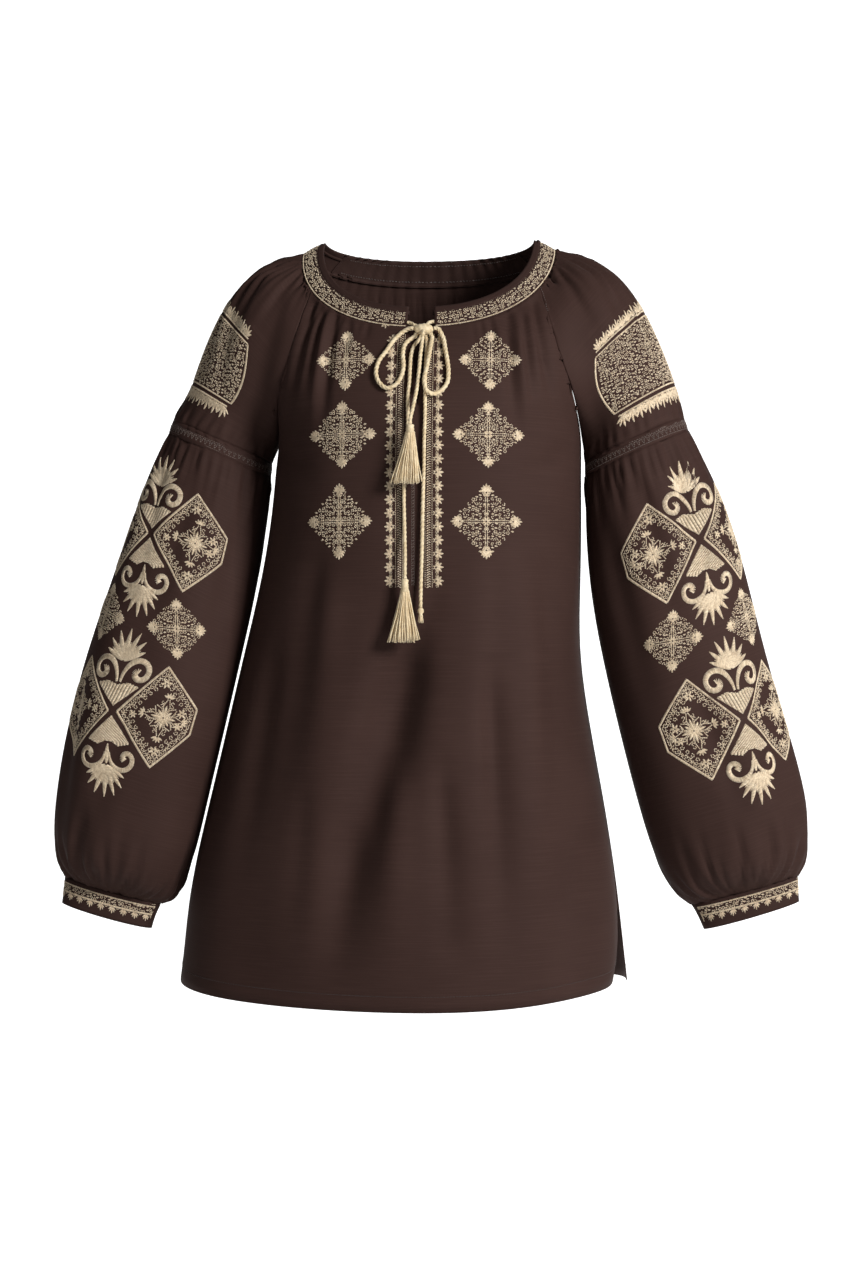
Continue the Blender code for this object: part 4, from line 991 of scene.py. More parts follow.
def stitched_mesh(name, jobs, height=STITCH_HEIGHT):
    """One mesh of all the stitches of several (chart, pattern) pairs."""
    all_places, shades = [], []
    for chart, pattern in jobs:
        first, normal_a = chart.at(pattern[:, 0:2] * 0.001)
        second, normal_b = chart.at(pattern[:, 2:4] * 0.001)
        normal = normal_a + normal_b
        normal /= np.linalg.norm(normal, axis=1)[:, None]
        along = second - first
        side = np.cross(normal, along)
        side /= np.maximum(np.linalg.norm(side, axis=1), 1e-9)[:, None]
        middle = (first + second) / 2
        width = pattern[:, 4:5] * 0.001
        x, y, z = STITCH_PLACES.T
        places = (middle[:, None, :] + along[:, None, :] * x[None, :, None]
                  + side[:, None, :] * (width * y)[:, :, None]
                  + normal[:, None, :] * (height * z)[None, :, None])
        all_places.append(places.reshape(-1, 3))
        shades.append(pattern[:, 5])
    places, shades = np.concatenate(all_places), np.concatenate(shades)
    count = len(shades)
    start = np.arange(count) * len(STITCH_PLACES)
    faces = []
    for face in STITCH_FACES:
        faces += (start[:, None] + np.array(face)[None, :]).tolist()
    data = bpy.data.meshes.new(name)
    data.from_pydata(places.tolist(), [], faces)
    attribute = data.attributes.new("shade", "FLOAT", "POINT")
    attribute.data.foreach_set("value", np.repeat(shades, len(STITCH_PLACES)))
    return data


print("a stitch has", len(STITCH_PLACES), "corners and", len(STITCH_FACES), "faces")

# %% Laying stitches along lines and over areas
LOOK_AHEAD = 0.3
GOLDEN_SHARE = 0.618
random = np.random.default_rng(7)


def pattern_of(ends, width):
    """Stitches from an array of their two ends, in millimetres, with a shade for each."""
    ends = np.array(ends, float).reshape(-1, 4)
    width = np.broadcast_to(width, len(ends))
    return np.column_stack((ends, width, random.uniform(0.0, 1.0, len(ends))))


def moved(pattern, u=0.0, v=0.0, turn=0.0, scale=1.0, mirror=False):
    """A pattern mirrored, scaled, turned by degrees and shifted by millimetres, in that order."""
    pattern = pattern.copy()
    angle = math.radians(turn)
    for column in (0, 2):
        x = pattern[:, column] * (-scale if mirror else scale)
        y = pattern[:, column + 1] * scale
        pattern[:, column] = u + x * math.cos(angle) - y * math.sin(angle)
        pattern[:, column + 1] = v + x * math.sin(angle) + y * math.cos(angle)
    return pattern


def even_points(path, pitch):
    """Points a pitch apart along a path, with the path's direction and the share of its length at each."""
    path = np.array(path, float)
    run = run_along(path)
    count = max(int(round(run[-1] / pitch)), 1)
    wanted = (np.arange(count) + 0.5) * run[-1] / count
    direction = looked_up(wanted + LOOK_AHEAD, run, path) - looked_up(wanted - LOOK_AHEAD, run, path)
    direction /= np.maximum(np.linalg.norm(direction, axis=1), 1e-9)[:, None]
    return looked_up(wanted, run, path), direction, wanted / run[-1]


def satin(path, width, pitch=0.85, slant=0.25):
    """Close stitches across a path. Width is a number or a function of the share along it."""
    points, direction, share = even_points(path, pitch)
    half = np.array([width(s) if callable(width) else width for s in share])[:, None] / 2
    across = np.column_stack((-direction[:, 1], direction[:, 0])) + direction * slant
    return pattern_of(np.column_stack((points - across * half, points + across * half)), pitch * 1.15)


def running(path, length=2.0, width=0.9, gap=0.15):
    """Stitches end to end along a path."""
    points, direction = even_points(path, length)[:2]
    half = direction * length * (0.5 - gap / 2)
    return pattern_of(np.column_stack((points - half, points + half)), width)


def leaf(base, tip, width, pitch=0.85):
    """A pointed petal of satin stitches."""
    def swell(share):
        return width * math.sin(math.pi * min(0.08 + 0.92 * share, 0.97)) ** 0.7
    return satin([base, tip], swell, pitch, 0.5)


def fan(base, reach, width, angles, lengths=None):
    """Petals that spread from one place, angles in degrees from up."""
    parts = []
    for i, angle in enumerate(angles):
        length = reach * (lengths[i] if lengths else 1.0)
        direction = np.array((math.sin(math.radians(angle)), math.cos(math.radians(angle))))
        parts.append(leaf(np.array(base) + direction * 0.8, np.array(base) + direction * length, width))
    return np.concatenate(parts)


def spiral(centre, radius, start, turns, inner=0.30, steps=26):
    """A path that winds in from a start angle in degrees. Negative turns wind clockwise."""
    share = np.linspace(0.0, 1.0, steps)
    angle = math.radians(start) + 2 * math.pi * turns * share
    reach = radius * (1.0 - (1.0 - inner) * share)
    return np.column_stack((centre[0] + reach * np.cos(angle), centre[1] + reach * np.sin(angle)))


def filled(corners, pitch=0.95, length=3.4, turn=0.0):
    """Rows of stitches that fill an outline, with joints that never line up from row to row."""
    angle = math.radians(turn)
    spin = np.array(((math.cos(angle), math.sin(angle)), (-math.sin(angle), math.cos(angle))))
    corners = np.array(corners, float) @ spin.T
    ends = []
    for number, v in enumerate(np.arange(corners[:, 1].min() + pitch / 2, corners[:, 1].max(), pitch)):
        crossings = []
        for (x0, y0), (x1, y1) in zip(corners, np.roll(corners, -1, axis=0)):
            if (y0 <= v) != (y1 <= v):
                crossings.append(x0 + (x1 - x0) * (v - y0) / (y1 - y0))
        crossings.sort()
        for left, right in zip(crossings[::2], crossings[1::2]):
            cuts = np.arange(left - length * (number * GOLDEN_SHARE % 1.0), right, length)
            cuts = np.concatenate(([left], cuts[cuts > left + 0.5], [right]))
            ends += [(a, v, b - 0.15, v) for a, b in zip(cuts, cuts[1:]) if b - a > 0.5]
    pattern = pattern_of(ends, pitch * 1.3)
    for column in (0, 2):
        pattern[:, column:column + 2] = pattern[:, column:column + 2] @ spin
    return pattern


print("a petal has", len(leaf((0, 0), (0, 8), 3.0)), "stitches")

# %% [markdown]
# ### Traditional motifs
# The ornament is the usual stock of such blouses: lozenges of small scrolls with a floret at each point,
# ram's-horn scrolls with palmettes, crossed triangles and eight-petalled flowers. Each is drawn here from a
# few sizes, so one function serves every copy of it.

# %% Dense curls and lozenges
TIP_ANGLES = (-75, -48, -24, 0, 24, 48, 75)
TIP_LENGTHS = (0.72, 0.80, 0.86, 1.0, 0.86, 0.80, 0.72)


def flipped(pattern):
    """A pattern upside down."""
    pattern = pattern.copy()
    pattern[:, [1, 3]] *= -1
    return pattern


def floret(petals=6, reach=4.2, width=2.3, turn=0.0):
    return fan((0.0, 0.0), reach, width, [turn + 360.0 * i / petals for i in range(petals)])


def curls(inside, half_width, low, high, size, seed, mirror_up=False):
    """Small scrolls, commas and buds that fill a region evenly, mirrored about its upright middle line.

    Inside is a test of a place, or None where the whole rectangle is filled.
    """
    local = np.random.default_rng(seed)
    parts = []
    rows = max(int(round((high - low) / size)), 1)
    columns = max(int(round(half_width / size)), 1)
    for r in range(rows):
        for c in range(columns):
            u = half_width * (c + 0.5 + local.uniform(-0.22, 0.22)) / columns
            v = low + (high - low) * (r + 0.5 + 0.35 * (c % 2) + local.uniform(-0.2, 0.2)) / rows
            kind, turn, start = local.uniform(), local.choice((-1, 1)), local.uniform(0.0, 360.0)
            if inside and not inside(u, v):
                continue
            if kind < 0.55:
                turns = turn * local.uniform(0.75, 1.15)
                part = running(spiral((u, v), size * 0.46, start, turns, 0.3, 9), 1.7, 1.0)
            elif kind < 0.85:
                comma = [(u - size * 0.42, v), (u, v + size * 0.22 * turn),
                         (u + size * 0.40, v + size * 0.12)]
                stem = [(u, v - size * 0.35), (u, v + size * 0.4)]
                part = np.concatenate((running(comma, 1.9, 1.1), running(stem, 1.9, 1.0)))
            else:
                part = moved(floret(5, size * 0.48, size * 0.36, start), u, v)
            parts += [part, moved(part, mirror=True)]
            if mirror_up:
                parts += [flipped(part), flipped(moved(part, mirror=True))]
    return np.concatenate(parts)


def lozenge(half_width, half_height, seed=1):
    """Curls mirrored in both axes, with stems along them and a solid bud at each point."""
    def inside(u, v):
        return u / half_width + v / half_height < 1.0 and max(u / half_width, v / half_height) < 0.80
    parts = [curls(inside, half_width, 0.8, half_height, 3.5, seed, True)]
    for turn, reach in ((0.0, half_height), (90.0, half_width), (180.0, half_height), (270.0, half_width)):
        tip = moved(fan((0.0, 0.0), 8.0, 3.0, TIP_ANGLES, TIP_LENGTHS), 0.0, reach - 7.8)
        stems = [running([(side * 0.9, 2.0), (side * 0.9, reach - 8.0)], 1.9, 1.0) for side in (-1, 1)]
        heart = moved(floret(6, 3.6, 2.3), 0.0, reach - 8.4)
        parts.append(moved(np.concatenate((tip, *stems, heart)), turn=-turn))
    parts.append(floret(8, 4.6, 1.9, 22.5))
    return np.concatenate(parts)


print("a lozenge has", len(lozenge(32, 33)), "stitches")

# %% The sleeve's ram's-horn group
UPPER_HORN = (
    (1.9, 28.5), (2.6, 34.0), (5.0, 41.0), (9.5, 47.6), (15.0, 50.8), (19.5, 51.1),
    (24.6, 48.9), (27.8, 44.5), (28.0, 39.4), (25.4, 34.6), (21.0, 32.6), (16.9, 34.0),
    (15.2, 37.4), (16.8, 40.0), (19.0, 39.6),
)
LOWER_HORN = (
    (1.8, -40.0), (3.0, -46.0), (6.0, -51.2), (11.0, -54.8), (17.0, -55.8), (23.0, -53.2),
    (26.2, -47.6), (25.4, -42.0), (21.2, -39.2), (17.2, -41.0), (16.4, -44.4), (18.6, -46.2),
)


def horn(line, width):
    """A thick scroll of satin stitch along a line, thin where it rises and full at its curled end."""
    def swell(share):
        return width * (0.45 + 0.55 * min(share * 3.2, 1.0)) * (1.0 + 0.22 * max(0.0, share - 0.8) * 5)
    return satin(smooth_line(line, 0.5), swell, 0.8)


def palmette(reach, spread, petals=7):
    """A crown of slender petals, tallest in the middle, with short ones between them."""
    angles = np.linspace(-spread, spread, petals)
    lengths = [0.66 + 0.34 * max(0.0, math.cos(math.radians(angle * 1.3))) for angle in angles]
    return np.concatenate((fan((0.0, 0.0), reach, reach * 0.165, angles, lengths),
                           fan((0.0, 0.0), reach * 0.60, reach * 0.09, (angles[:-1] + angles[1:]) / 2)))


UPPER_TRIANGLE = ((0.0, 4.6), (22.0, 25.5), (11.0, 28.6), (0.0, 25.6), (-11.0, 28.6), (-22.0, 25.5))
LOWER_TRIANGLE = ((0.0, -4.6), (22.0, -30.0), (10.0, -33.6), (2.5, -29.4), (-2.5, -29.4), (-10.0, -33.6),
                  (-22.0, -30.0))
PENTAGON = ((4.6, -0.4), (45.5, 49.0), (82.5, 11.0), (79.5, -14.0), (43.5, -49.0))


def inset(corners, distance):
    """An outline moved in towards its middle."""
    corners = np.array(corners, float)
    middle = corners.mean(0)
    away = corners - middle
    return middle + away * (1 - distance / np.linalg.norm(away, axis=1))[:, None]


def closed(corners):
    return np.concatenate((corners, corners[:1]))


def pentagon():
    """A satin outline, a speckled inner border, and a flower with side florets."""
    outline = np.array(PENTAGON)
    middle = outline.mean(0) + (-1.0, 0.5)
    parts = [satin(closed(outline), 2.4, 0.85)]
    for distance, step in ((4.4, 2.7), (7.2, 2.9)):
        for i, point in enumerate(even_points(closed(inset(outline, distance)), step)[0]):
            path = spiral(point, 1.5, 100.0 * i, 0.7 if i % 2 else -0.7, 0.5, 7)
            parts.append(running(path, 1.7, 1.0))
    for i, point in enumerate(even_points(closed(inset(outline, 12.0)), 6.2)[0]):
        parts.append(running(spiral(point, 2.3, 137.0 * i, 1.0 if i % 2 else -1.0, 0.3, 9), 1.8, 1.1))
    for i in range(8):
        angle = 45.0 * i + 8.0
        long = i % 2 == 0
        reach = 18.5 if long else 14.5
        direction = np.array((math.sin(math.radians(angle)), math.cos(math.radians(angle))))
        for side in (-1, 1):
            across = np.array((direction[1], -direction[0])) * side
            path = [middle + direction * 3.0 + across * 0.9, middle + direction * reach * 0.6 + across * 3.2,
                    middle + direction * reach + across * 0.8]
            parts.append(running(path, 1.9, 1.3))
            bud = middle + direction * (reach * 0.80) + across * 4.6
            parts.append(running(spiral(bud, 1.8, 90.0 * i, 0.8 * side, 0.4, 8), 1.7, 1.0))
        parts.append(leaf(middle + direction * 2.0, middle + direction * reach * 0.66, 2.8))
        if long:
            crown = fan((0.0, 0.0), 6.0, 2.2, (-66, -33, 0, 33, 66))
            parts.append(moved(crown, *(middle + direction * (reach + 0.5)), -angle))
    parts.append(moved(floret(8, 5.0, 2.2), *middle))
    for corner, size in zip(inset(outline, 16.0), (0.8, 1.1, 1.0, 0.9, 1.1)):
        parts.append(moved(floret(6, 4.8, 2.2, 20.0), *corner, scale=size))
    return np.concatenate(parts)


def sleeve_group(with_lozenges):
    """Palmettes, horns, crossed triangles and a pentagon at each side, about its crossing."""
    half = [pentagon()]
    if with_lozenges:
        half.append(moved(lozenge(30.5, 29.0, 5), 42.5, -86.0, 8.0))
    parts = half + [moved(part, mirror=True) for part in half]
    parts.append(filled(UPPER_TRIANGLE))
    parts.append(filled(LOWER_TRIANGLE))
    for line, width in ((UPPER_HORN, 6.0), (LOWER_HORN, 5.2)):
        parts.append(horn(line, width))
        parts.append(moved(parts[-1], mirror=True))
    parts.append(leaf((0.0, -51.0), (0.0, -32.0), 4.6))
    parts.append(moved(palmette(32.0, 62.0), 0.0, 49.0))
    parts.append(moved(palmette(31.0, 62.0), 0.0, -52.5, 180.0))
    return np.concatenate(parts)


def slanted(pattern, lean, rise):
    """A pattern whose upright lines lean outward and whose level lines rise towards the front."""
    other = pattern.copy()
    for column in (0, 2):
        other[:, column] -= lean * pattern[:, column + 1]
        other[:, column + 1] += rise * pattern[:, column]
    return other


print("a sleeve group has", len(sleeve_group(True)), "stitches")

# %% Dense strips for shoulder, cuffs, neckband and slit borders
def teeth(u_start, u_end, v, size, height, down=False):
    """A row of upright palmettes over a close line."""
    count = int(round((u_end - u_start) / size))
    step = (u_end - u_start) / count
    sign = -1 if down else 1
    parts = [satin([(u_start, v + sign * 1.2), (u_end, v + sign * 1.2)], 2.0, 0.95)]
    for i in range(count):
        u = u_start + step * (i + 0.5)
        petals = fan((0.0, 0.0), height, height * 0.22, (-50, -26, 0, 26, 50), (0.72, 0.86, 1.0, 0.86, 0.72))
        parts.append(moved(petals, u, v + sign * 1.8, 180.0 if down else 0.0))
        scroll = spiral((u - step / 2, v + sign * height * 0.34), 2.0, 40.0, 0.9, 0.3, 10)
        parts.append(running(scroll, 1.5, 0.9))
    return np.concatenate(parts)


def border(length, size=12.8):
    """One border of the slit, hanging from 0: scalloped flowers outside (+u) and a dotted stripe inside."""
    count = int(round(length / size))
    step = length / count
    parts = []
    for i in range(count):
        v = -step * (i + 0.5)
        scallop = fan((0.0, 0.0), 6.6, 2.7, (-78, -40, 0, 40, 78), (0.8, 0.95, 1.0, 0.95, 0.8))
        parts.append(moved(scallop, 3.2, v, -90.0))
        parts.append(moved(floret(6, 2.9, 1.6), 2.6, v))
        for side in (-1, 1):
            path = spiral((3.4, v + side * 4.6), 2.0, -90.0 * side, 0.95 * side, 0.35, 12)
            parts.append(running(path, 1.5, 0.9))
    parts.append(running([(-1.0, 0.0), (-1.0, -length)], 1.7, 0.8, 0.25))
    bars = np.arange(-length, 0.0, 2.3)
    parts.append(pattern_of([(-6.4, v, -4.3, v + 1.0) for v in bars], 1.1))
    parts.append(pattern_of([(-2.4, v + 1.0, -4.4, v + 1.9) for v in bars], 0.9))
    parts.append(running([(-7.6, 0.0), (-7.6, -length)], 1.9, 0.7, 0.3))
    return np.concatenate(parts)


print("a border has", len(border(258.0)), "stitches")

# %% [markdown]
# ### Where the motifs lie
# The six chest lozenges and the slit's borders lie on the front, the horn groups come down each sleeve a
# little in front of its outermost line, and the dense strips follow the shoulder, cuffs and neckband.

# %% Front embroidery
CHEST_LOZENGES = ((-72.6, -128.6, 29.0, 30.0), (65.0, -130.0, 29.5, 30.0), (-75.2, -200.6, 33.5, 32.0),
                  (63.6, -201.6, 33.5, 31.5), (-77.4, -283.0, 32.0, 36.0), (62.0, -283.6, 33.0, 35.5))
BORDER_TOP, BORDER_LENGTH = -104.0, 242.0
front_parts = [moved(lozenge(w, h, 11 + i), u, v) for i, (u, v, w, h) in enumerate(CHEST_LOZENGES)]
front_parts.append(moved(border(BORDER_LENGTH), 12.4, BORDER_TOP))
front_parts.append(moved(border(BORDER_LENGTH), -23.8, BORDER_TOP, mirror=True))
middle_line = [running([(u, -200.0), (u, -344.0)], 1.8, 0.8, 0.25) for u in (-7.6, -5.4)]
middle_line.append(pattern_of([(-7.4, v, -5.6, v + 1.0) for v in np.arange(-343.0, -201.0, 2.9)], 0.9))
for u, v in ((-36.0, -93.0), (24.0, -91.0)):
    front_parts.append(moved(floret(6, 4.4, 2.0), u, v))
pieces = {"embroidery_front": [(charts["front"], np.concatenate(front_parts))]}
print("front:", sum(len(part) for part in front_parts), "stitches")

# %% Sleeve, shoulder, cuff and neckband embroidery
# For each group across and up to its crossing, how it leans and rises, and whether lozenges follow it
GROUP_PLACES = {"left": ((61.0, -104.0, 0.24, 0.00, True), (88.0, -281.0, 0.08, 0.09, False)),
                "right": ((67.0, -110.0, 0.15, -0.07, True), (76.0, -287.0, 0.04, 0.00, False))}
SHOULDER_HALF = {"left": 96.0, "right": 113.0}
PANEL_FOOT, PANEL_TOP = 54.0, 123.0
CUFF_HALF = 116.0
CUFF_STRIP_TOP = 25.5
OPENWORK_HALF = 185.0
openwork = {"openwork_slit": [(charts["front"], np.concatenate(middle_line))]}


def shoulder_panel(half_width):
    """A block of dense curls with bulging sides, and a row of palmettes above and below it."""
    def edge(v):
        return half_width * (1 - 0.125 * ((v - 98.0) / 45.0) ** 2)

    def within(u, v):
        return u < edge(v) - 2.0

    def level(v):
        return satin([(-edge(v), v), (edge(v), v)], 1.8)

    heights = np.linspace(PANEL_FOOT, PANEL_TOP, 24)
    sides = [satin([(side * edge(v), v) for v in heights], 2.2) for side in (-1, 1)]
    return np.concatenate([
        curls(within, half_width, PANEL_FOOT + 1.5, PANEL_TOP - 1.5, 3.7, 41), *sides,
        level(PANEL_FOOT), level(PANEL_TOP),
        teeth(-edge(128.0), edge(128.0), 126.5, 9.5, 11.5),
        curls(within, half_width, 128.0, 133.0, 3.7, 45),
        teeth(-edge(48.0), edge(48.0), 50.0, 9.5, 14.0, True),
        curls(within, half_width, 43.0, 48.5, 3.7, 43)])


def cuff_strip(foot):
    """A running line, a satin line, curls and hanging palmettes, above the cuff's foot."""
    top = foot + CUFF_STRIP_TOP
    return np.concatenate((
        running([(-CUFF_HALF, top - 1.0), (CUFF_HALF, top - 1.0)], 2.4, 0.9),
        satin([(-CUFF_HALF, top - 4.6), (CUFF_HALF, top - 4.6)], 1.5),
        curls(None, CUFF_HALF, top - 12.5, top - 5.5, 3.6, 47),
        teeth(-CUFF_HALF, CUFF_HALF, top - 11.5, 11.5, 6.6, True)))


def openwork_strip():
    """Three dashed lines, and a zigzag with a small flower in each of its bays."""
    rows = [running([(-OPENWORK_HALF, v), (OPENWORK_HALF, v)], 2.2, 0.9) for v in (5.6, 4.2, -4.8)]
    for u in np.arange(1.0 - OPENWORK_HALF, OPENWORK_HALF - 1.0, 5.2):
        rows.append(running([(u, -3.6), (u + 2.6, 2.6), (u + 5.2, -3.6)], 1.8, 0.9))
        rows.append(moved(floret(4, 1.9, 1.2), u, 1.4))
    return np.concatenate(rows)


def neckband_strip(long, high):
    """Curls between a satin line along the seam and a running line under the binding."""
    band = moved(curls(None, long / 2 - 1.5, 2.2, high - 1.0, 3.7, 53), long / 2, 0.0)
    seam = satin([(1.0, 1.0), (long - 1.0, 1.0)], 1.6)
    rim = running([(1.0, high - 0.6), (long - 1.0, high - 0.6)])
    return np.concatenate((band, seam, rim))


for word in ("left", "right"):
    chart = charts["sleeve_" + word]
    groups = [moved(slanted(sleeve_group(more), lean, rise), u, v)
              for u, v, lean, rise, more in GROUP_PLACES[word]]
    pieces["embroidery_sleeve_" + word] = [(charts["tube_" + word], np.concatenate(groups))]
    pieces["embroidery_shoulder_" + word] = [(chart, shoulder_panel(SHOULDER_HALF[word]))]
    pieces["embroidery_cuff_" + word] = [(chart, cuff_strip(chart.vs[0] * 1000.0))]
    openwork["openwork_" + word] = [(chart, openwork_strip())]
    chart = charts["neckband_" + word]
    long, high = chart.us[-1] * 1000.0, chart.vs[-1] * 1000.0
    pieces["embroidery_neckband_" + word] = [(chart, neckband_strip(long, high))]

# %% The stitches as meshes
counts = {}
for name, jobs in pieces.items():
    add_piece(name, stitched_mesh(name, jobs), FLOSS, "band")
    counts[name] = sum(len(pattern) for chart, pattern in jobs)
for name, jobs in openwork.items():
    add_piece(name, stitched_mesh(name, jobs, OPENWORK_HEIGHT), OPENWORK, "insertion")
    counts[name] = sum(len(pattern) for chart, pattern in jobs)
print("stitches:", counts, "together", sum(counts.values()))

# %% [markdown]
# ### Sewing lines
# Topstitched seams and hems show as fine dashed lines a few millimetres from a panel's edge. A panel's edge
# is a chain of its border's vertices, and a narrow chart runs beside it, with up pointing into the panel.

# %% Charts beside the edges
HEM_LEVEL = -0.700
HEM_DISTANCE_MM = 15.0
SEAM_DISTANCE_MM = 2.6
EDGE_STEP = 0.003
EDGE_CHART_REACH = 0.022
PROBE = 0.008


def border_chains(name):
    """The places of a sheet's borders, in order along each."""
    data = sheets[name]
    uses = {}
    for polygon in data.polygons:
        for key in polygon.edge_keys:
            uses[key] = uses.get(key, 0) + 1
    beside = {}
    for (a, b), count in uses.items():
        if count == 1:
            beside.setdefault(a, []).append(b)
            beside.setdefault(b, []).append(a)
    chains, unused = [], set(beside)
    while unused:
        here = unused.pop()
        chain = [here]
        while here is not None:
            here = next((v for v in beside[here] if v in unused), None)
            if here is not None:
                unused.discard(here)
                chain.append(here)
        chains.append(chain)
    return [np.array([data.vertices[v].co for v in chain]) for chain in chains]


def longest_run(name, wanted_of):
    """The longest stretch of a sheet's borders whose places are all wanted."""
    runs = []
    for chain in border_chains(name):
        wanted = wanted_of(chain)
        start = int(np.argmin(wanted))
        chain, wanted = np.roll(chain, -start, axis=0), np.roll(wanted, -start)
        cuts = np.flatnonzero(np.diff(np.concatenate(([0], wanted.astype(int), [0]))))
        runs += [chain[first:last] for first, last in zip(cuts[::2], cuts[1::2])]
    return max(runs, key=len)


def meets(places, name):
    """Which places are as near as a seam to a sheet."""
    tree = tree_of([sheets[name]])
    return np.array([tree.find_nearest(Vector(place), SEAM_REACH)[0] is not None for place in places])


def edge_chart(name, line):
    """A chart beside an edge: u along it from 0, and v from it into the panel."""
    tree = shell_tree(name)
    run = run_along(line)
    us, vs = np.arange(0.0, run[-1], EDGE_STEP), np.arange(0.0, EDGE_CHART_REACH, EDGE_STEP)
    points = looked_up(us, run, line)
    ahead = np.gradient(points, axis=0)
    ahead /= np.linalg.norm(ahead, axis=1)[:, None]
    normals = np.array([tree.find_nearest(Vector(point))[1] for point in points])
    inward = np.cross(normals, ahead)
    probes = [points + sign * PROBE * inward for sign in (1, -1)]
    miss = [sum(tree.find_nearest(Vector(place))[3] for place in places) for places in probes]
    inward *= 1.0 if miss[0] < miss[1] else -1.0
    grid = [[tree.find_nearest(Vector(point + way * v))[0] for point, way in zip(points, inward)] for v in vs]
    return Chart(us, vs, np.array(grid), normals[None])


def sewing(name, line, distance):
    """A chart beside an edge and a dashed line on it, at a distance in millimetres, ready for a mesh."""
    chart = edge_chart(name, line)
    return chart, running([(2.0, distance), (chart.us[-1] * 1000.0 - 2.0, distance)], 3.0, 0.8, 0.3)


lines = {}
for panel in ("front", "back"):
    hem = longest_run(panel, lambda chain: chain[:, 2] < HEM_LEVEL)
    lines["topstitching_" + panel] = [sewing(panel, hem, HEM_DISTANCE_MM)]
for word in ("left", "right"):
    panel = "upper_sleeve_" + word
    seams = [longest_run(panel, lambda chain: meets(chain, other)) for other in ("front", "back")]
    lines["topstitching_" + panel] = [sewing(panel, seam, SEAM_DISTANCE_MM) for seam in seams]
for name, jobs in lines.items():
    thread = SEAM_THREAD if "sleeve" in name else HEM_THREAD
    add_piece(name, stitched_mesh(name, jobs, TOPSTITCH_HEIGHT), thread, "cloth")
    print(name, sum(len(pattern) for chart, pattern in jobs), "stitches")

# %% Dashes inside the back of the neck
CASING_START_DEG = 130.0
CASING_HEIGHT = 0.024
CASING_LINES_MM = (2.0, 21.0)


def inner_neck_chart(degrees, shares, lift):
    """A chart on the inner face of the back casing, right to left as seen from the front."""
    tree = shell_tree("neck_casing_back")
    angles = np.linspace(degrees, 360.0 - degrees, 90)
    grid = np.zeros((len(shares), len(angles), 3))
    facing = np.zeros_like(grid)
    for r, share in enumerate(shares):
        for c, angle in enumerate(angles):
            inner, outer = neck_edge(NECK_INNER, angle), neck_edge(NECK_OUTER, angle)
            place, normal = tree.find_nearest(Vector(inner + (outer - inner) * share))[:2]
            away = np.array((place[0], place[1], 0.0))
            normal = np.array(normal) * np.sign(np.dot(normal, away))
            grid[r, c] = np.array(place) - normal * lift
            facing[r, c] = -away
    us = np.linspace(0.0, length_of(grid[0]), len(angles))
    return Chart(us, np.linspace(0.0, CASING_HEIGHT, len(shares)), grid, facing)


inner_chart = inner_neck_chart(CASING_START_DEG, np.linspace(0.9, 0.1, 5), SHELL + 0.00005)
inner_end = inner_chart.us[-1] * 1000.0 - 2.0
inner_lines = np.concatenate([running([(2.0, v), (inner_end, v)], 3.2, 0.9, 0.35) for v in CASING_LINES_MM])
inner_mesh = stitched_mesh("topstitching_casing", [(inner_chart, inner_lines)], CASING_STITCH_HEIGHT)
add_piece("topstitching_casing", inner_mesh, SEAM_THREAD, "binding")
print("casing:", len(inner_lines), "stitches")

# %% [markdown]
# ## Tassels and knots
# A tassel is a bundle of threads bound at the neck. Its skirt is made of single strands that leave a small
# ring, spread and end unevenly. The bow's knot is a ball of wrapped cord.

# %% Tassels
# Name, x, y, top z, head radius, head height, skirt half width, skirt half depth, length, lean
TASSELS = (
    ("tassel_upper", -0.0080, -0.1505, -0.1939, 0.0042, 0.0080, 0.0150, 0.0062, 0.0570, -0.0040),
    ("tassel_lower", -0.0130, -0.1495, -0.3380, 0.0038, 0.0120, 0.0150, 0.0072, 0.0610, -0.0015),
)
# Down and out, as shares of the head's height and radius
HEAD_PROFILE = ((0.0, 0.35), (0.0, 0.62), (0.10, 0.95), (0.38, 0.80), (0.46, 0.98), (0.54, 0.82),
                (0.62, 0.98), (0.70, 0.84), (1.0, 1.18), (1.06, 0.60))
STRANDS = 84
STRAND_RADIUS = 0.00062
STRAND_SHARES = (0.0, 0.12, 0.3, 0.5, 0.7, 0.86, 1.0)
GOLDEN_ANGLE = 2.399963


def turned(mesh, x, y, top, profile):
    """Spins a profile of places down and out about an upright line, and closes its ends."""
    verts = [mesh.verts.new((x + out, y, top - down)) for down, out in profile]
    edges = [mesh.edges.new(pair) for pair in zip(verts, verts[1:])]
    bmesh.ops.spin(mesh, geom=verts + edges, cent=(x, y, 0.0), axis=(0.0, 0.0, 1.0), dvec=(0.0, 0.0, 0.0),
                   angle=2 * math.pi, steps=24, use_merge=True)
    bmesh.ops.holes_fill(mesh, edges=[edge for edge in mesh.edges if edge.is_boundary], sides=0)
    bmesh.ops.recalc_face_normals(mesh, faces=mesh.faces)


def strand(mesh, points, radius, sides=4):
    """Extrudes a small ring along points into a closed thread."""
    ring = bmesh.ops.create_circle(mesh, cap_ends=True, segments=sides, radius=radius)["verts"]
    bmesh.ops.translate(mesh, verts=ring, vec=points[0])
    face = ring[0].link_faces[0]
    for before, after in zip(points, points[1:]):
        face = bmesh.ops.extrude_discrete_faces(mesh, faces=[face])["faces"][0]
        bmesh.ops.translate(mesh, verts=face.verts, vec=after - before)


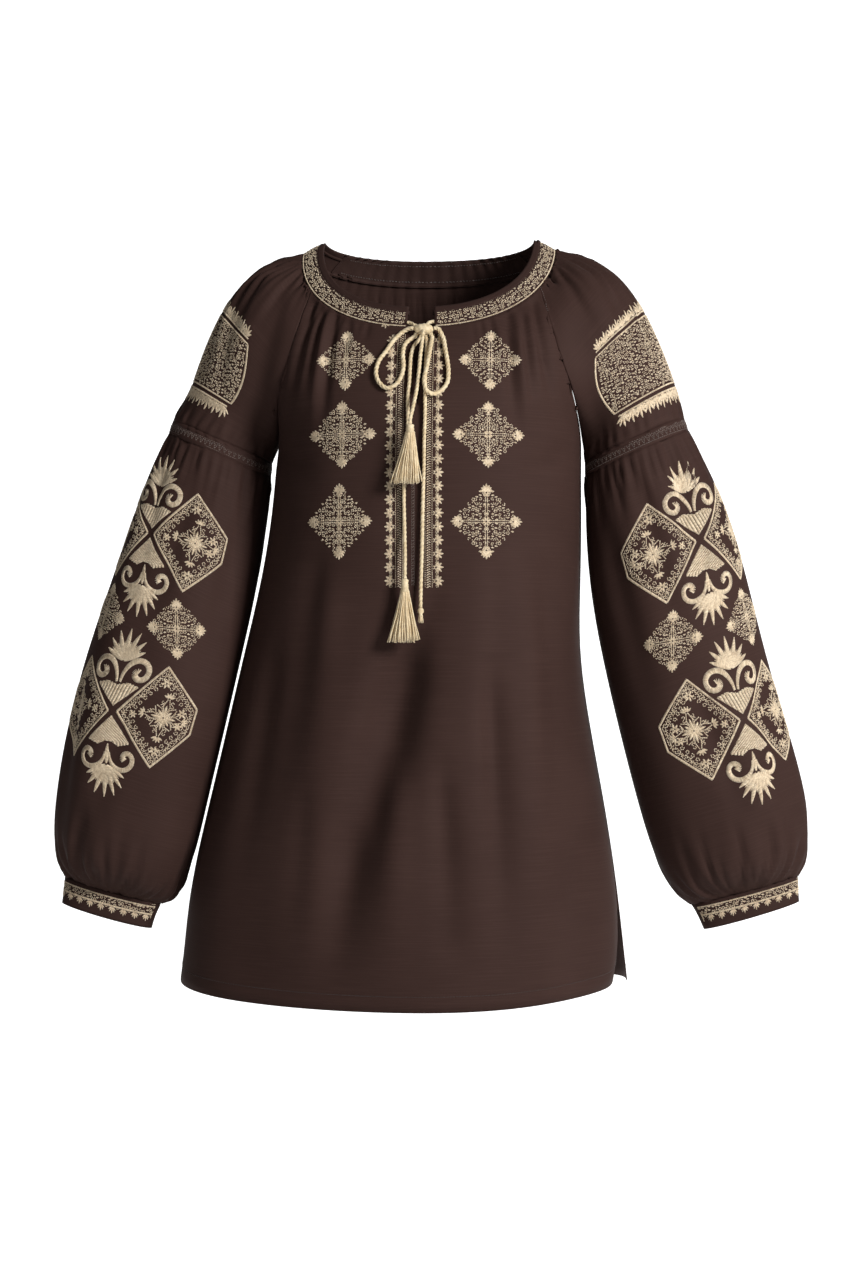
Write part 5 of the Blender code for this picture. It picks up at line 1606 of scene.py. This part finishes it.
def tassel_mesh(name, x, y, top, head_radius, head_height, half_width, half_depth, length, lean):
    """A bound head, and a skirt of strands that spread and wave a little."""
    mesh = bmesh.new()
    turned(mesh, x, y, top, [(down * head_height, head_radius * out) for down, out in HEAD_PROFILE])
    for i in range(STRANDS):
        reach = math.sqrt((i + 0.5) / STRANDS)
        across, ahead = reach * math.cos(i * GOLDEN_ANGLE), reach * math.sin(i * GOLDEN_ANGLE)
        swing = random.uniform(-0.0012, 0.0012, 3)
        foot = top - head_height * 0.9
        start = Vector((x + head_radius * 0.95 * across, y + head_radius * 0.95 * ahead, foot))
        drop = (length - head_height) * random.uniform(0.93, 1.0)
        end = Vector((x + lean + half_width * 0.97 * across, y + half_depth * 0.9 * ahead, start.z - drop))
        points = []
        for share in STRAND_SHARES:
            spread = 1 - (1 - share) ** 1.35
            wave = math.sin(share * 7.0 + i) * 0.0005 * share
            point = start.lerp(end, share)
            point.x = start.x + (end.x - start.x) * spread * (0.55 + 0.45 * share) + swing[0] * share + wave
            point.y = start.y + (end.y - start.y) * spread * (0.55 + 0.45 * share) + wave * 0.4
            points.append(point)
        strand(mesh, points, STRAND_RADIUS)
    return finished_mesh(mesh, name)


for tassel in TASSELS:
    piece = add_piece("threads_" + tassel[0], tassel_mesh(*tassel), CORD, "cord", tassel[0])
    print(piece.name, len(piece.data.polygons), "faces")

# %% Knots
KNOT_CENTRE = Vector((0.0017, -0.1120, -0.1000))
KNOT_RADII = Vector((0.0095, 0.0052, 0.0055))
END_KNOT_CENTRE = Vector((0.0012, -0.1424, -0.3648))
END_KNOT_PROFILE = ((0.0, 0.0006), (0.0, 0.0014), (0.0015, 0.0028), (0.0042, 0.0030), (0.0060, 0.0016),
                    (0.0082, 0.0024))
END_THREADS = 16
END_THREAD_RADIUS = 0.00042


def knot_mesh():
    """A flattened ball with grooves where the cord wraps round it."""
    mesh = bmesh.new()
    bmesh.ops.create_uvsphere(mesh, u_segments=48, v_segments=32, radius=1.0)
    for vert in mesh.verts:
        groove = 1.0 - 0.07 * (1 + math.cos(vert.co.x * 11.0 + vert.co.z * 2.5)) / 2
        vert.co = [middle + radius * value * groove
                   for middle, radius, value in zip(KNOT_CENTRE, KNOT_RADII, vert.co)]
    return finished_mesh(mesh, "wrapped_tie_knot")


def end_knot_mesh():
    """A turned bead of cord, and the frayed bit under it."""
    mesh = bmesh.new()
    turned(mesh, *END_KNOT_CENTRE, END_KNOT_PROFILE)
    for i in range(END_THREADS):
        angle = i * GOLDEN_ANGLE
        reach = math.sqrt((i + 0.5) / END_THREADS)
        offset = Vector((math.cos(angle), math.sin(angle), 0.0)) * reach
        start = END_KNOT_CENTRE + offset * 0.0016 - Vector((0.0, 0.0, 0.0068))
        end = END_KNOT_CENTRE + offset * 0.0028 - Vector((0.0, 0.0, 0.0135 + 0.0012 * (i % 3) / 3))
        strand(mesh, [start, start.lerp(end, 0.5), end], END_THREAD_RADIUS)
    return finished_mesh(mesh, "frayed_tie_end")


knot = add_piece("wrapped_tie_knot", knot_mesh(), CORD, "cord", "tie_knot")
end_knot = add_piece("frayed_tie_end", end_knot_mesh(), CORD, "cord", "tie_end_knot")
print("knots:", knot.name, end_knot.name)

# %% Cord lengths
# Name, far end, what goes with it
CORD_FACTS = (
    ("tie_loop_left", "object", ["twisted_tie_stub_left"]),
    ("tie_loop_right", "object", ["twisted_tie_stub_right"]),
    ("tie_tail_lower", "fitting", ["threads_tassel_lower"]),
    ("tie_tail_upper", "fitting", ["threads_tassel_upper"]),
    ("tie_tail_knotted", "knot", ["frayed_tie_end"]),
)
for name, far_end, others in CORD_FACTS:
    piece, points, diameter = cords[name]
    print(piece.name, round(length_of(points), 3), "m")

# %% [markdown]
# ### The cloth's flat sizes
# Each shell was cut flat before it was sewn. A cloth simulation or a pattern maker needs that flat size, and
# what the piece hangs from. Both are listed here, and each flat size is printed beside the shell's area now.

# %% Flat sizes of the sheets
# Shell, cut width and length, cut area, how it is held, what it hangs from, what goes with it
SHEET_FACTS = [
    ("front", (0.56, 0.70), 0.335, "hung", ["shell_neckband_left", "shell_neckband_right"],
     ["embroidery_front", "openwork_slit", "topstitching_front"]),
    ("back", (0.56, 0.75), 0.350, "hung", ["shell_neck_casing_back"], ["topstitching_back"]),
    ("neck_casing_back", (0.26, 0.030), None, "gathered", ["shell_back"], ["topstitching_casing"]),
]
for word in ("left", "right"):
    SHEET_FACTS += [
        ("upper_sleeve_" + word, (0.42, 0.20), 0.066, "gathered", ["shell_neckband_" + word],
         ["embroidery_shoulder_" + word, "topstitching_upper_sleeve_" + word]),
        ("sleeve_insertion_" + word, (0.42, 0.016), None, "hung", ["shell_upper_sleeve_" + word],
         ["openwork_" + word]),
        ("lower_sleeve_" + word, (0.52, 0.46), 0.215, "gathered", ["shell_sleeve_insertion_" + word],
         ["embroidery_sleeve_" + word]),
        ("cuff_" + word, (0.29, 0.028), None, "hung", ["shell_lower_sleeve_" + word],
         ["embroidery_cuff_" + word]),
        ("neckband_" + word, (0.24, 0.022), None, "hung", ["shell_upper_sleeve_" + word],
         ["embroidery_neckband_" + word]),
        ("neck_binding_" + word, (0.235, 0.010), None, "hung", ["shell_neckband_" + word], []),
    ]
for name, flat, area, held, hangs_from, others in SHEET_FACTS:
    print(name, flat, "m flat, now", round(sum(p.area for p in shells[name].data.polygons), 4), "m2")

# %% [markdown]
# ## Floor and light
# A pale floor that curves up behind gives no horizon line. One large soft light from the right and a weaker
# one from the left shape the dark cloth, as in the photograph, and the world fills the rest.

# %% The floor
FLOOR_Z = -1.25
FLOOR_HALF_WIDTH = 5.0
# Back from the blouse, and up from the floor
FLOOR_PROFILE = ((-5.5, 0.0), (3.4, 0.0), (4.0, 0.06), (4.5, 0.26), (4.8, 0.6), (4.95, 1.1), (4.95, 4.5))

stage_mesh = bmesh.new()
verts = [stage_mesh.verts.new((-FLOOR_HALF_WIDTH, back, FLOOR_Z + up)) for back, up in FLOOR_PROFILE]
edges = [stage_mesh.edges.new(pair) for pair in zip(verts, verts[1:])]
grown = bmesh.ops.extrude_edge_only(stage_mesh, edges=edges)["geom"]
far_side = [item for item in grown if isinstance(item, bmesh.types.BMVert)]
bmesh.ops.translate(stage_mesh, verts=far_side, vec=(2 * FLOOR_HALF_WIDTH, 0.0, 0.0))
for face in stage_mesh.faces:
    face.smooth = True
stage_data = finished_mesh(stage_mesh, "studio_floor")
stage = bpy.data.objects.new("studio_floor", stage_data)
bpy.context.scene.collection.objects.link(stage)
# Painted light: the backdrop glows, white where it is seen behind the blouse and a dim grey glow on the floor
# in front and off to the sides.
backdrop = Finish("glowing_studio_backdrop", Roughness=0.95, Emission_Strength=1.0)
backdrop.shader.inputs["Specular IOR Level"].default_value = 0.0
depth = backdrop.part(backdrop.place(), 1)
aside = backdrop.part(backdrop.place(), 0).math("ABSOLUTE")
glow = depth.between(-0.2, 0.7) * (1.0 - aside.between(1.9, 2.6))
backdrop.set("Emission Color", backdrop.mix(glow, (0.12, 0.12, 0.12, 1.0), (1.0, 1.0, 1.0, 1.0)))
backdrop.set("Base Color", (0.80, 0.80, 0.80, 1.0))
stage_data.materials.append(backdrop.material)
print("floor:", len(stage_data.polygons), "faces")

# %% Lights and air
def soft_light(name, place, target, size, power):
    """A square light of a size and a power, aimed at a target."""
    data = bpy.data.lights.new(name, "AREA")
    data.shape, data.size, data.energy = "SQUARE", size, power
    item = bpy.data.objects.new(name, data)
    bpy.context.scene.collection.objects.link(item)
    item.location = place
    item.rotation_euler = (Vector(target) - Vector(place)).to_track_quat("-Z", "Y").to_euler()


soft_light("key", (2.2, -2.1, 0.75), (0.0, 0.0, -0.35), 0.9, 104.0)
soft_light("fill", (-2.2, -2.2, 0.1), (0.0, 0.0, -0.4), 1.6, 5.0)
soft_light("back", (0.3, 2.2, 1.6), (0.0, 0.0, -0.2), 1.2, 4.0)
world = bpy.data.worlds.new("studio_air")
world.use_nodes = True
world.node_tree.nodes["Background"].inputs["Color"].default_value = (1.0, 1.0, 1.0, 1.0)
world.node_tree.nodes["Background"].inputs["Strength"].default_value = 0.08
bpy.context.scene.world = world
bpy.context.scene.view_settings.view_transform = "Standard"
